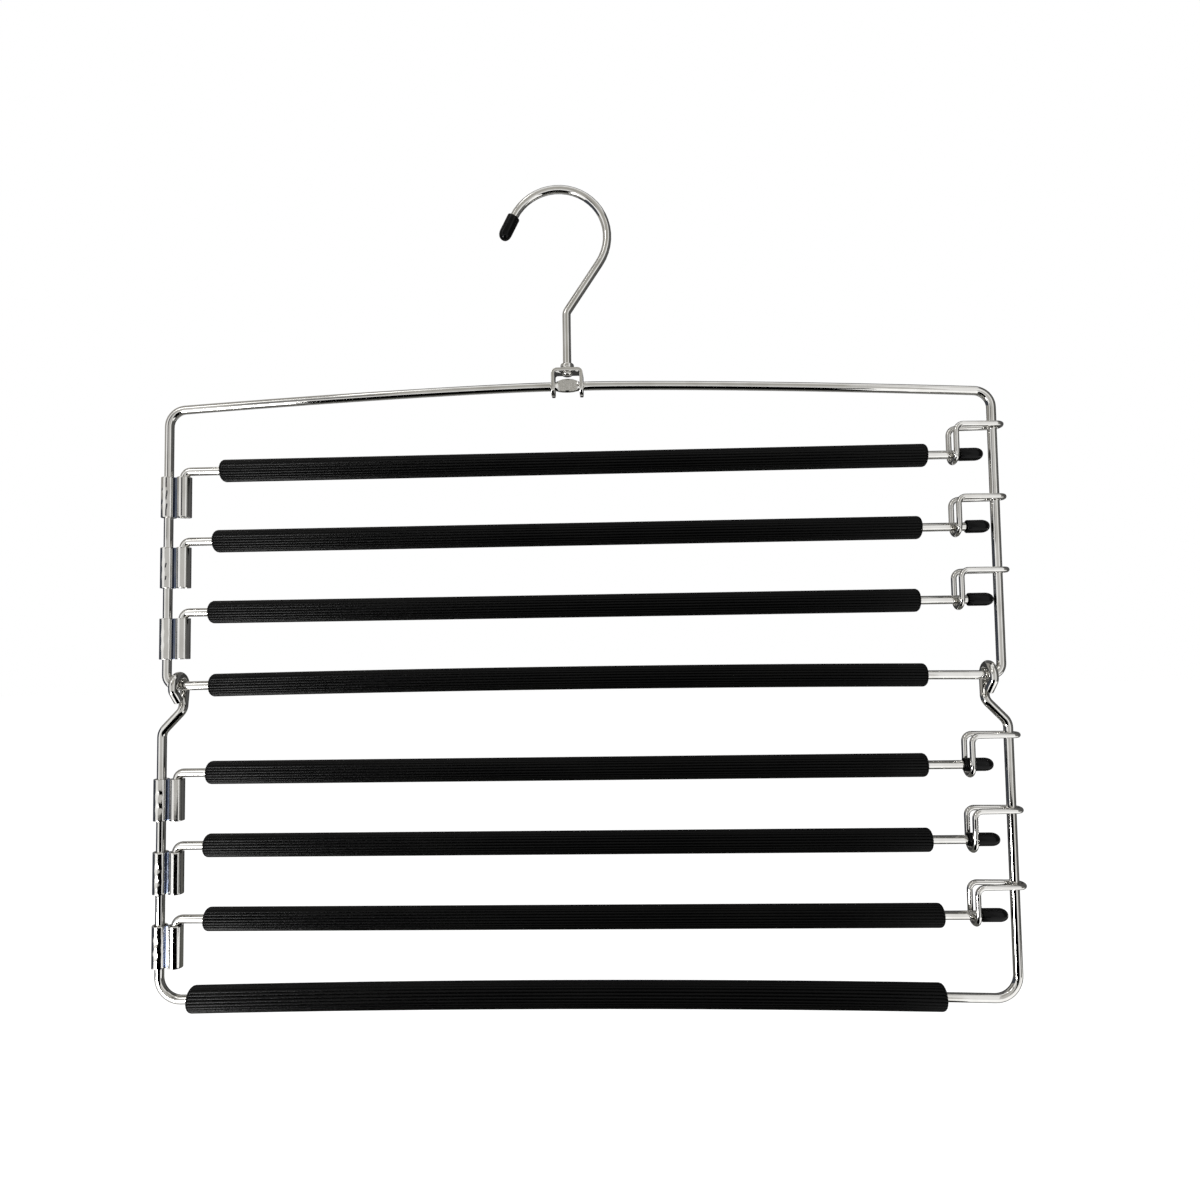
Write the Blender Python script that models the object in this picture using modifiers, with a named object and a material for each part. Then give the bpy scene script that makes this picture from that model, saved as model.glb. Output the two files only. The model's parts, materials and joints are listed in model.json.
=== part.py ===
"""Folding trouser hanger: two hinged wire frames under a swivel hook, with foam sleeved swing arms.

Units are metres, +Z is up, +X runs along the bars and -Y is the front. The origin is where a wardrobe
rod bears, at the inner top of the hook.
"""

import math

import bmesh
import bpy
from mathutils import Matrix, Vector

# Clearances
RUNNING_GAP = 0.0003  # between pieces that touch or turn on each other
EYE_SLACK = 0.0005  # above the fold bar, in the lower frame's eyes
EYE_SIDE_PLAY = 0.0010  # before and behind the fold bar
EYE_END_PLAY = 0.00065  # from an eye's wire axis to the bend at the fold bar's end

# Wires
FRAME_WIRE = 0.0040
ARM_WIRE = 0.0038
CATCH_WIRE = 0.0024
HOOK_WIRE = 0.0038

# Hook
HOOK_INNER_RADIUS = 0.0207
HOOK_TIP_ANGLE = math.radians(153)
HOOK_LEAN = math.radians(34)  # the shank's slant between the arc and the stem
STEM_OFFSET = 0.0035  # the stem stands this far right of the arc's centre
STEM_LENGTH = 0.0238
COLLAR_LIP = 0.0012  # the collar stands this far out of the wire
COLLAR_HEIGHT = 0.0025
COLLAR_BEVEL = 0.0007
RIVET_NECK = 0.0032
RIVET_HEAD = 0.0050
RIVET_HEAD_HEIGHT = 0.0012
RIVET_BEVEL = 0.0006

# Swivel bracket
BRACKET_WIDTH = 0.0143
BRACKET_DEPTH = 0.0085
BRACKET_SHEET = 0.0015
BRACKET_BEND = 0.0010  # inner radius, as in the other bends below
BRACKET_TOE_RADIUS = 0.0034
BRACKET_TOE_WALL = 0.0025  # below the hole for the rail
RIVET_TO_BOSS = 0.0017

# Upper frame
UPPER_WIDTH = 0.3725  # between the side wires' axes
BRACKET_OFFSET = 0.0027  # the bracket sits this far left of the frame's middle
RAIL_RISE = 0.0069
RAIL_LEVEL = 0.0048  # level stretch of the rail beside each leg of the bracket
RAIL_CURVE = 1.4  # the rail falls with this power of the way out to its corners
TOP_BEND = 0.0058
FOLD_BEND = 0.0030
FOLD_CROWN = 0.0013  # the fold bar rises this far in its middle
BOSS_THICKNESS = 0.0022
BOSS_HEIGHT = 0.0058
BOSS_TAPER = 0.0018

# Lower frame
LOWER_OVERHANG = 0.00185  # its sides stand this far outside the upper frame's
EYE_STRAIGHT_DROP = 0.0020  # the eye's sides run straight to this far below the fold bar
EYE_BEND = 0.0010
KINK_SHIFT = 0.0020  # the kink lies this far further in than the eye
KINK_DROP = 0.0106
KINK_BEND = 0.0015
SHOULDER_DROP = 0.0205
SHOULDER_BEND = 0.0040
BOTTOM_BEND = 0.0080
BOTTOM_CROWN = 0.0021  # the bottom bar rises this far in its middle

# Places of the bars
FIRST_ARM_DROP = 0.0352  # below the rail's peak
ARM_PITCH = 0.0323
CLIP_TO_EYE = 0.0057  # from the upper frame's last clip down to the eye
SHOULDER_TO_CATCH = 0.0055  # from the lower frame's shoulder down to its first catch
CLIP_TO_BEND = 0.0042  # from the last clip down to the bend at the bottom
ARMS_PER_FRAME = 3

# Swing arms, top to bottom
PINTLE_OFFSET = 0.0072  # from the side wire to the pintle
ARM_BEND = 0.0011
PINTLE_RECESS = 0.0010
SLEEVE_STARTS = (0.0176, 0.0146, 0.0128, 0.0143, 0.0134, 0.0138)  # from the pintle
SLEEVE_STOPS = (0.0120, 0.0156, 0.0174, 0.0184, 0.0176, 0.0137)  # before the cradle
CAP_IN_CRADLE = (False, False, False, True, True, False)
CAP_GAPS = (0.0013, 0.0032, 0.0028, 0.0012, 0.0006, 0.0016)  # past the catch's wire, or before it
CAP_LENGTHS = (0.0104, 0.0102, 0.0110, 0.0127, 0.0137, 0.0112)

# Foam sleeves
SLEEVE_DIAMETER = 0.0103
SLEEVE_EDGE = 0.0012
FOLD_SLEEVE_MARGINS = (0.0130, 0.0252)  # bare bar between the sleeve and the eyes, left and right
BOTTOM_SLEEVE_DIAMETER = 0.0116
BOTTOM_SLEEVE_MARGINS = (0.0041, 0.0216)  # bare bar between the sleeve and the bends, left and right

# Dipped caps
CAP_WALL = 0.0007
CAP_END_WALL = 0.0022
HOOK_CAP_LENGTH = 0.0118
CAP_NOSE = 0.0032  # length of the rounded end
CAP_NOSE_FLAT = 0.0008  # radius left at its blunt tip
CAP_TO_SIDE = 0.0005  # from the end of the cap that reaches furthest to the side wire

# Clips
CLIP_DROP = 0.0026  # from the arm's axis to the clip's top
CLIP_HEIGHT = 0.0185
CLIP_WALL = 0.0010
CLIP_WAIST = 0.0034  # thickness between its two tubes
STAKE_RADIUS = 0.0011
STAKE_DEPTH = 0.0004
STAKE_INSET = 0.0045  # from the clip's ends

# Catches
CATCH_RISE = 0.0128  # its legs run this far above the arm's axis
CATCH_BEND = 0.0020

# Facets
ARC_STEP = math.radians(22.5)
SMOOTH_BELOW = math.radians(40)
FULL_ROUND = 0.97  # share of a half width that a round end takes, so that its two arcs stay apart
FRAME_SIDES = 10
THIN_SIDES = 8
TURNED_STEPS = 12
CROWN_STEPS = 8
SLEEVE_STEPS = 20
RIM_STEPS = 2
STAKE_STEPS = 8
WELD = 1e-6
EMPTY_SIZE = 0.010

# Finishes: colour, roughness and metallic value
CHROME = ((0.82, 0.82, 0.80), 0.12, 1.0)
BLACK_FOAM = ((0.012, 0.012, 0.013), 0.75, 0.0)
BLACK_VINYL = ((0.010, 0.010, 0.011), 0.30, 0.0)

# Sizes and places that follow from those above
FRAME_RADIUS = FRAME_WIRE / 2
ARM_RADIUS = ARM_WIRE / 2
CATCH_RADIUS = CATCH_WIRE / 2
HOOK_RADIUS = HOOK_INNER_RADIUS + HOOK_WIRE / 2
TIP_CAP_RADIUS = ARM_RADIUS + RUNNING_GAP + CAP_WALL
CRADLE_HALF = TIP_CAP_RADIUS + RUNNING_GAP + CATCH_RADIUS
CAP_STARTS = [  # from the cradle's middle
    -CATCH_RADIUS - gap if in_cradle else CATCH_RADIUS + gap
    for in_cradle, gap in zip(CAP_IN_CRADLE, CAP_GAPS)
]
CAP_REACH = max(start + length for start, length in zip(CAP_STARTS, CAP_LENGTHS))
CRADLE_SETBACK = CAP_REACH + CAP_TO_SIDE + FRAME_RADIUS

RAIL_DROP = BRACKET_SHEET + RUNNING_GAP + RIVET_HEAD_HEIGHT + RIVET_TO_BOSS + BOSS_HEIGHT / 2
BRACKET_HEIGHT = RAIL_DROP + FRAME_RADIUS + RUNNING_GAP + BRACKET_TOE_WALL
SHANK_DROP = (HOOK_RADIUS * math.cos(HOOK_LEAN) - STEM_OFFSET) / math.tan(HOOK_LEAN)
STEM_TOP_Z = -HOOK_INNER_RADIUS - HOOK_RADIUS * math.sin(HOOK_LEAN) - SHANK_DROP
COLLAR_Z = STEM_TOP_Z - STEM_LENGTH - COLLAR_HEIGHT
WEB_Z = COLLAR_Z - RUNNING_GAP

LOWER_WIDTH = UPPER_WIDTH + 2 * LOWER_OVERHANG
EYE_INSET = FOLD_BEND + FRAME_RADIUS + EYE_END_PLAY  # from the upper frame's side wire
EYE_TOP = FRAME_WIRE + EYE_SLACK  # of its wire's axis, above the fold bar's
CLIP_FOOT = CLIP_DROP + CLIP_HEIGHT  # below the arm's axis
UPPER_ARM_Z = [-FIRST_ARM_DROP - n * ARM_PITCH for n in range(ARMS_PER_FRAME)]  # from the rail
FOLD_BAR_Z = UPPER_ARM_Z[-1] - CLIP_FOOT - CLIP_TO_EYE - FRAME_RADIUS - EYE_TOP
LOWER_ARM_DROP = SHOULDER_DROP + SHOULDER_TO_CATCH + CATCH_RISE
LOWER_ARM_Z = [-LOWER_ARM_DROP - n * ARM_PITCH for n in range(ARMS_PER_FRAME)]  # from the fold bar
BOTTOM_BAR_Z = LOWER_ARM_Z[-1] - CLIP_FOOT - CLIP_TO_BEND - BOTTOM_BEND - FRAME_RADIUS


def clear_scene():
    for obj in list(bpy.data.objects):
        bpy.data.objects.remove(obj, do_unlink=True)


def new_collection(name):
    collection = bpy.data.collections.new(name)
    bpy.context.scene.collection.children.link(collection)
    return collection


def new_material(name, color, roughness, metallic):
    material = bpy.data.materials.new(name)
    material.use_nodes = True
    shader = material.node_tree.nodes["Principled BSDF"]
    shader.inputs["Base Color"].default_value = (*color, 1)
    shader.inputs["Roughness"].default_value = roughness
    shader.inputs["Metallic"].default_value = metallic
    return material


def rounded_path(corners):
    """Points along straight runs with rounded corners. A corner is (point, radius); radius 0 is an end."""
    points = []
    for index, (corner, radius) in enumerate(corners):
        corner = Vector(corner)
        if radius == 0:
            points.append(corner)
            continue
        back = (Vector(corners[index - 1][0]) - corner).normalized()
        ahead = (Vector(corners[(index + 1) % len(corners)][0]) - corner).normalized()
        turn = math.pi - back.angle(ahead)
        reach = radius * math.tan(turn / 2)
        centre = corner + (back + ahead).normalized() * radius / math.cos(turn / 2)
        start = corner + back * reach - centre
        axis = start.cross(corner + ahead * reach - centre)
        steps = max(2, math.ceil(turn / ARC_STEP))
        for step in range(steps + 1):
            points.append(centre + Matrix.Rotation(turn * step / steps, 3, axis) @ start)
    return points


def crown_rise(x, half, crown):
    """A crowned bar's height over the line of its ends, at x from its middle."""
    return crown * (1 - (x / half) ** 2)


def crowned_bar(middle, half, height, crown):
    """The corners of a crowned bar between its ends, left to right, for a rounded path."""
    offsets = [half * (2 * step / CROWN_STEPS - 1) for step in range(1, CROWN_STEPS)]
    return [((middle + x, 0, height + crown_rise(x, half, crown)), 0) for x in offsets]


def circle(radius, steps, centre=(0, 0)):
    angles = [math.tau * step / steps for step in range(steps)]
    return [(centre[0] + radius * math.cos(a), centre[1] + radius * math.sin(a), 0) for a in angles]


def add_spline(curve, points, cyclic):
    spline = curve.splines.new("POLY")
    spline.points.add(len(points) - 1)
    for knot, point in zip(spline.points, points):
        knot.co = (*point, 1)
    spline.use_cyclic_u = cyclic


def mesh_of(obj):
    """The object's evaluated shape as a welded mesh. The object itself is removed."""
    bpy.context.view_layer.update()
    graph = bpy.context.evaluated_depsgraph_get()
    mesh = bpy.data.meshes.new_from_object(obj.evaluated_get(graph))
    mesh.transform(obj.matrix_world)
    shape = bmesh.new()
    shape.from_mesh(mesh)
    bmesh.ops.remove_doubles(shape, verts=shape.verts, dist=WELD)
    bmesh.ops.recalc_face_normals(shape, faces=shape.faces)
    shape.to_mesh(mesh)
    shape.free()
    mesh.shade_smooth()
    mesh.set_sharp_from_angle(angle=SMOOTH_BELOW)
    bpy.data.objects.remove(obj, do_unlink=True)
    return mesh


def workpiece(name, data):
    """An object in the scene whose shape is about to be taken as a mesh."""
    obj = bpy.data.objects.new(name, data)
    bpy.context.scene.collection.objects.link(obj)
    return obj


def wire_mesh(name, points, diameter, sides, cyclic=False):
    curve = bpy.data.curves.new(name, "CURVE")
    curve.dimensions = "3D"
    curve.bevel_depth = diameter / 2
    curve.bevel_resolution = (sides - 4) // 2
    curve.use_fill_caps = True
    add_spline(curve, points, cyclic)
    return mesh_of(workpiece(name, curve))


def plate_mesh(name, outlines, thickness, turn=(0, 0, 0)):
    """A flat outline in XY, with any holes, given thickness along Z and then turned."""
    curve = bpy.data.curves.new(name, "CURVE")
    curve.dimensions = "2D"
    curve.fill_mode = "BOTH"
    curve.extrude = thickness / 2
    for outline in outlines:
        add_spline(curve, outline, cyclic=True)
    obj = workpiece(name, curve)
    obj.rotation_euler = turn
    return mesh_of(obj)


def turned_mesh(name, profile, steps, turn=(0, 0, 0)):
    """A profile of (radius, height) points, top to bottom along its outside, turned about Z."""
    mesh = bpy.data.meshes.new(name)
    edges = [(n, n + 1) for n in range(len(profile) - 1)]
    mesh.from_pydata([(radius, 0, height) for radius, height in profile], edges, [])
    obj = workpiece(name, mesh)
    obj.rotation_euler = turn
    screw = obj.modifiers.new("turn", "SCREW")
    screw.steps = screw.render_steps = steps
    screw.use_merge_vertices = True
    screw.merge_threshold = WELD
    return mesh_of(obj)


def rounded_rim(flat, radius, side, end):
    """Profile points from a turned end's flat, over its rounded rim, to where its side starts."""
    angles = [math.pi / 2 * step / RIM_STEPS for step in range(RIM_STEPS + 1)]
    return [(flat + (radius - flat) * math.sin(a), side + (end - side) * math.cos(a)) for a in angles]


def combined_mesh(name, mesh, operation, other):
    """A Boolean of two meshes in the same frame."""
    obj = workpiece(name, mesh)
    tool = workpiece(name + "_tool", other)
    cut = obj.modifiers.new(operation.lower(), "BOOLEAN")
    cut.operation = operation
    cut.solver = "EXACT"
    cut.object = tool
    result = mesh_of(obj)
    bpy.data.objects.remove(tool, do_unlink=True)
    return result


def hook_mesh():
    """The bent wire with its swaged collar, and the riveted end that the bracket turns on."""
    arc_centre = Vector((0, 0, -HOOK_INNER_RADIUS))

    def on_arc(angle):
        return arc_centre + HOOK_RADIUS * Vector((math.cos(angle), 0, math.sin(angle)))

    tip = on_arc(HOOK_TIP_ANGLE)
    along = Vector((-math.sin(HOOK_TIP_ANGLE), 0, math.cos(HOOK_TIP_ANGLE)))
    sweep = HOOK_TIP_ANGLE + HOOK_LEAN
    steps = math.ceil(sweep / (ARC_STEP / 2))
    arc = [on_arc(HOOK_TIP_ANGLE - sweep * step / steps) for step in range(steps + 1)]
    stem_top = Vector((STEM_OFFSET, 0, STEM_TOP_Z))
    stem_end = Vector((STEM_OFFSET, 0, COLLAR_Z + COLLAR_HEIGHT / 2))
    shank = rounded_path([(arc[-1], 0), (stem_top, HOOK_WIRE), (stem_end, 0)])
    stub = HOOK_CAP_LENGTH - CAP_END_WALL - RUNNING_GAP
    wire = wire_mesh("hook_wire", [tip + along * stub] + arc + shank[1:], HOOK_WIRE, FRAME_SIDES)

    head_top = -2 * RUNNING_GAP - BRACKET_SHEET
    head_end = head_top - RIVET_HEAD_HEIGHT
    collar = HOOK_WIRE / 2 + COLLAR_LIP
    profile = [
        (0, COLLAR_HEIGHT),
        (collar - COLLAR_BEVEL, COLLAR_HEIGHT),
        (collar, COLLAR_HEIGHT - COLLAR_BEVEL),
        (collar, COLLAR_BEVEL),
        (collar - COLLAR_BEVEL, 0),
        (RIVET_NECK / 2, 0),
        (RIVET_NECK / 2, head_top),
        (RIVET_HEAD / 2, head_top),
        (RIVET_HEAD / 2, head_end + RIVET_BEVEL),
        (RIVET_HEAD / 2 - RIVET_BEVEL, head_end),
        (0, head_end),
    ]
    rivet = turned_mesh("hook_rivet", profile, TURNED_STEPS)
    rivet.transform(Matrix.Translation((STEM_OFFSET, 0, COLLAR_Z)))
    return combined_mesh("hook", wire, "UNION", rivet)


def cap_mesh(name, bore, length):
    """A dipped cap along +Z with its mouth at the origin and a blunt rounded nose."""
    radius = bore / 2 + CAP_WALL
    profile = [
        (0, length),
        *rounded_rim(CAP_NOSE_FLAT, radius, length - CAP_NOSE, length),
        (radius, 0),
        (bore / 2, 0),
        (bore / 2, length - CAP_END_WALL),
        (0, length - CAP_END_WALL),
    ]
    return turned_mesh(name, profile, TURNED_STEPS)


def bracket_mesh():
    """A strap bent into an inverted U round the rail, with its web's top at Z = 0."""
    half, sheet = BRACKET_WIDTH / 2, BRACKET_SHEET
    outer_bend = BRACKET_BEND + sheet
    foot = -BRACKET_HEIGHT - sheet
    strap = [
        ((-half, foot, 0), 0),
        ((-half, 0, 0), outer_bend),
        ((half, 0, 0), outer_bend),
        ((half, foot, 0), 0),
        ((half - sheet, foot, 0), 0),
        ((half - sheet, -sheet, 0), BRACKET_BEND),
        ((sheet - half, -sheet, 0), BRACKET_BEND),
        ((sheet - half, foot, 0), 0),
    ]
    upright = (math.pi / 2, 0, 0)
    strap = plate_mesh("strap", [rounded_path(strap)], BRACKET_DEPTH + 2 * sheet, upright)

    # The side view: round toes, and the hole that the rail lies in
    reach, toe = BRACKET_DEPTH / 2, -BRACKET_HEIGHT
    toe_radius = min(BRACKET_TOE_RADIUS, reach * FULL_ROUND)
    side = [
        ((-reach, sheet, 0), 0),
        ((-reach, toe, 0), toe_radius),
        ((reach, toe, 0), toe_radius),
        ((reach, sheet, 0), 0),
    ]
    hole = circle(FRAME_RADIUS + RUNNING_GAP, TURNED_STEPS, (0, -RAIL_DROP))
    facing_x = (math.pi / 2, 0, math.pi / 2)
    side = plate_mesh("side", [rounded_path(side), hole], BRACKET_WIDTH + 2 * sheet, facing_x)
    bracket = combined_mesh("bracket", strap, "INTERSECT", side)

    neck_radius = RIVET_NECK / 2 + RUNNING_GAP
    drill = turned_mesh(
        "drill", [(0, sheet), (neck_radius, sheet), (neck_radius, -2 * sheet), (0, -2 * sheet)], TURNED_STEPS
    )
    return combined_mesh("swivel_bracket", bracket, "DIFFERENCE", drill)


def rail_leg(start, corner):
    """The stations of the rail from its level stretch out to a corner, which it falls to ever faster."""
    shares = [step / CROWN_STEPS for step in range(CROWN_STEPS)]
    return [((start + (corner - start) * share, 0, -RAIL_RISE * share**RAIL_CURVE), 0) for share in shares]


def upper_frame_mesh():
    """The closed loop of rail, sides and fold bar, about the rail's peak above the bracket."""
    left, right = BRACKET_OFFSET - UPPER_WIDTH / 2, BRACKET_OFFSET + UPPER_WIDTH / 2
    boss = BRACKET_WIDTH / 2 - BRACKET_SHEET - RUNNING_GAP
    level = BRACKET_WIDTH / 2 + RAIL_LEVEL
    top_radius, fold_radius = TOP_BEND + FRAME_RADIUS, FOLD_BEND + FRAME_RADIUS
    corners = [
        ((left, 0, FOLD_BAR_Z), fold_radius),
        ((left, 0, -RAIL_RISE), top_radius),
        *reversed(rail_leg(-level, left)),
        *(((x, 0, 0), 0) for x in (-boss, BOSS_TAPER - boss, boss - BOSS_TAPER, boss)),
        *rail_leg(level, right),
        ((right, 0, -RAIL_RISE), top_radius),
        ((right, 0, FOLD_BAR_Z), fold_radius),
        *reversed(crowned_bar(BRACKET_OFFSET, UPPER_WIDTH / 2, FOLD_BAR_Z, FOLD_CROWN)),
    ]
    mesh = wire_mesh("upper_frame", rounded_path(corners), FRAME_WIRE, FRAME_SIDES, cyclic=True)
    # The boss: the rail is pressed thin and tall between the bracket's legs, so that it can't slide
    for vertex in mesh.vertices:
        if abs(vertex.co.z) < FRAME_WIRE and abs(vertex.co.x) < boss - BOSS_TAPER / 2:
            vertex.co.y *= BOSS_THICKNESS / FRAME_WIRE
            vertex.co.z *= BOSS_HEIGHT / FRAME_WIRE
    return mesh


def lower_frame_mesh():
    """The open wire of bottom bar and sides, about the fold bar's axis at the frame's middle."""
    half = LOWER_WIDTH / 2
    eye_half = FRAME_WIRE + EYE_SIDE_PLAY
    eye_x = EYE_INSET - UPPER_WIDTH / 2
    kink = Vector((eye_x + KINK_SHIFT, 0, -KINK_DROP))
    front = Vector((eye_x, -eye_half, -EYE_STRAIGHT_DROP))
    # The front strand ends where it would meet the rear one, which runs on into the side
    strand = front - kink
    tail = kink + strand * (FRAME_WIRE + RUNNING_GAP) / (2 * eye_half)
    eye_bend = EYE_BEND + FRAME_RADIUS
    left = [
        (tail, 0),
        (front, eye_bend),
        (Vector((eye_x, -eye_half, EYE_TOP)), eye_half * FULL_ROUND),
        (Vector((eye_x, eye_half, EYE_TOP)), eye_half * FULL_ROUND),
        (Vector((eye_x, eye_half, -EYE_STRAIGHT_DROP)), eye_bend),
        (kink, KINK_BEND + FRAME_RADIUS),
        (Vector((-half, 0, -SHOULDER_DROP)), SHOULDER_BEND + FRAME_RADIUS),
        (Vector((-half, 0, BOTTOM_BAR_Z)), BOTTOM_BEND + FRAME_RADIUS),
    ]
    right = [(Vector((-point.x, point.y, point.z)), radius) for point, radius in reversed(left)]
    bar = crowned_bar(0, half, BOTTOM_BAR_Z, BOTTOM_CROWN)
    return wire_mesh("lower_frame", rounded_path(left + bar + right), FRAME_WIRE, FRAME_SIDES)


def sleeve_mesh(name, diameter, bore, length, steps=1):
    """A foam tube along +X from the origin, in steps along its length, with its edges rounded over."""
    radius = diameter / 2
    far_rim = rounded_rim(radius - SLEEVE_EDGE, radius, length - SLEEVE_EDGE, length)
    near_rim = rounded_rim(radius - SLEEVE_EDGE, radius, SLEEVE_EDGE, 0)
    stations = [length * step / steps for step in range(1, steps)]
    profile = [
        (bore / 2, length),
        *far_rim,
        *((radius, station) for station in reversed(stations)),
        *reversed(near_rim),
        (bore / 2, 0),
        *((bore / 2, station) for station in stations),
        (bore / 2, length),
    ]
    return turned_mesh(name, profile, SLEEVE_STEPS, (0, math.pi / 2, 0))


def crowned_sleeve_mesh(name, diameter, start, length, half, crown):
    """A frame bar's foam tube. It starts this far along the bar, and follows the bar's crown."""
    bore = FRAME_WIRE + 2 * RUNNING_GAP
    mesh = sleeve_mesh(name, diameter, bore, length, CROWN_STEPS)
    for vertex in mesh.vertices:
        vertex.co.z += crown_rise(start + vertex.co.x - half, half, crown)
    return mesh


def clip_mesh():
    """A sheet wrapped round the side wire, at the origin, and the pintle beside it, hung from Z = 0."""
    side_bore, pintle_bore = FRAME_RADIUS + RUNNING_GAP, ARM_RADIUS + RUNNING_GAP
    outline = []
    for centre, bore, facing in ((0, side_bore, math.pi), (PINTLE_OFFSET, pintle_bore, 0)):
        radius = bore + CLIP_WALL
        spread = math.pi - math.asin(CLIP_WAIST / 2 / radius)
        steps = math.ceil(2 * spread / ARC_STEP)
        for step in range(steps + 1):
            angle = facing - spread + 2 * spread * step / steps
            outline.append((centre + radius * math.cos(angle), radius * math.sin(angle), 0))
    holes = [circle(side_bore, TURNED_STEPS), circle(pintle_bore, TURNED_STEPS, (PINTLE_OFFSET, 0))]
    mesh = plate_mesh("clip", [outline, *holes], CLIP_HEIGHT)

    # Two stake marks pressed into the front of the tube on the side wire
    stakes = bmesh.new()
    facets = {"u_segments": STAKE_STEPS, "v_segments": STAKE_STEPS}
    stake_y = -(side_bore + CLIP_WALL - STAKE_DEPTH + STAKE_RADIUS)
    for sign in (-1, 1):
        place = Matrix.Translation((0, stake_y, sign * (CLIP_HEIGHT / 2 - STAKE_INSET)))
        bmesh.ops.create_uvsphere(stakes, radius=STAKE_RADIUS, matrix=place, **facets)
    tool = bpy.data.meshes.new("stakes")
    stakes.to_mesh(tool)
    stakes.free()
    mesh = combined_mesh("arm_clip", mesh, "DIFFERENCE", tool)
    mesh.transform(Matrix.Translation((0, 0, -CLIP_HEIGHT / 2)))
    return mesh


def catch_mesh(name, seat_radius):
    """A wire looped round the side wire, at the origin, whose two legs hang a cradle for the arm."""
    loop_half = FRAME_RADIUS + RUNNING_GAP + CATCH_RADIUS
    bottom = -(seat_radius + RUNNING_GAP + CATCH_RADIUS)
    front = [
        ((loop_half, -loop_half, CATCH_RISE), loop_half * FULL_ROUND),
        ((-CRADLE_SETBACK, -CRADLE_HALF, CATCH_RISE), CATCH_BEND + CATCH_RADIUS),
        ((-CRADLE_SETBACK, -CRADLE_HALF, bottom), CRADLE_HALF * FULL_ROUND),
    ]
    back = [((x, -y, z), radius) for (x, y, z), radius in reversed(front)]
    return wire_mesh(name, rounded_path(front + back), CATCH_WIRE, THIN_SIDES, cyclic=True)


def arm_mesh(name, reach):
    """A swing arm's wire about its pintle, which hangs in the clip, with the arm's axis at Z = 0."""
    pintle_end = -CLIP_DROP - CLIP_HEIGHT + PINTLE_RECESS
    tip = reach - CAP_END_WALL - RUNNING_GAP
    corners = [((0, 0, pintle_end), 0), ((0, 0, 0), ARM_BEND + ARM_RADIUS), ((tip, 0, 0), 0)]
    return wire_mesh(name, rounded_path(corners), ARM_WIRE, THIN_SIDES)


def joint_empty(name, parent, place, collection):
    empty = bpy.data.objects.new(name, None)
    empty.empty_display_size = EMPTY_SIZE
    empty.parent = parent
    empty.location = place
    collection.objects.link(empty)
    return empty


def piece(name, mesh, material, parent, place=(0, 0, 0), turn=(0, 0, 0)):
    """One sub-part of the hanger, in its parent's frame."""
    mesh.materials.clear()
    mesh.materials.append(material)
    obj = bpy.data.objects.new(name, mesh)
    obj.parent = parent
    obj.location = place
    obj.rotation_euler = turn
    parent.users_collection[0].objects.link(obj)
    return obj


def add_arms(frame, width, middle, heights, first_number, finishes):
    """A frame's swing arms, each with its clip on the left side wire and its catch on the right one."""
    chrome, foam, vinyl = finishes
    clip = clip_mesh()
    bore = ARM_WIRE + 2 * RUNNING_GAP
    left, right = middle - width / 2, middle + width / 2
    cradle_reach = width - PINTLE_OFFSET - CRADLE_SETBACK
    for number, height in enumerate(heights, first_number):
        name, index = f"arm_{number}", number - 1
        cap_start = cradle_reach + CAP_STARTS[index]
        cap = cap_mesh(name + "_tip_cap", bore, CAP_LENGTHS[index])
        wire = arm_mesh(name, cap_start + CAP_LENGTHS[index])
        sleeve_start = SLEEVE_STARTS[index]
        sleeve_length = cradle_reach - SLEEVE_STOPS[index] - sleeve_start
        sleeve = sleeve_mesh(name + "_sleeve", SLEEVE_DIAMETER, bore, sleeve_length)
        catch = catch_mesh(name + "_catch", TIP_CAP_RADIUS if CAP_IN_CRADLE[index] else ARM_RADIUS)
        pintle = (left + PINTLE_OFFSET, 0, height)
        axis = joint_empty(name + "_axis", frame, pintle, frame.users_collection[0])
        piece(name + "_wire", wire, chrome, axis)
        piece(name + "_sleeve", sleeve, foam, axis, (sleeve_start, 0, 0))
        piece(name + "_tip_cap", cap, vinyl, axis, (cap_start, 0, 0), (0, math.pi / 2, 0))
        piece(name + "_clip", clip, chrome, frame, (left, 0, height - CLIP_DROP))
        piece(name + "_catch", catch, chrome, frame, (right, 0, height))


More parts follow.
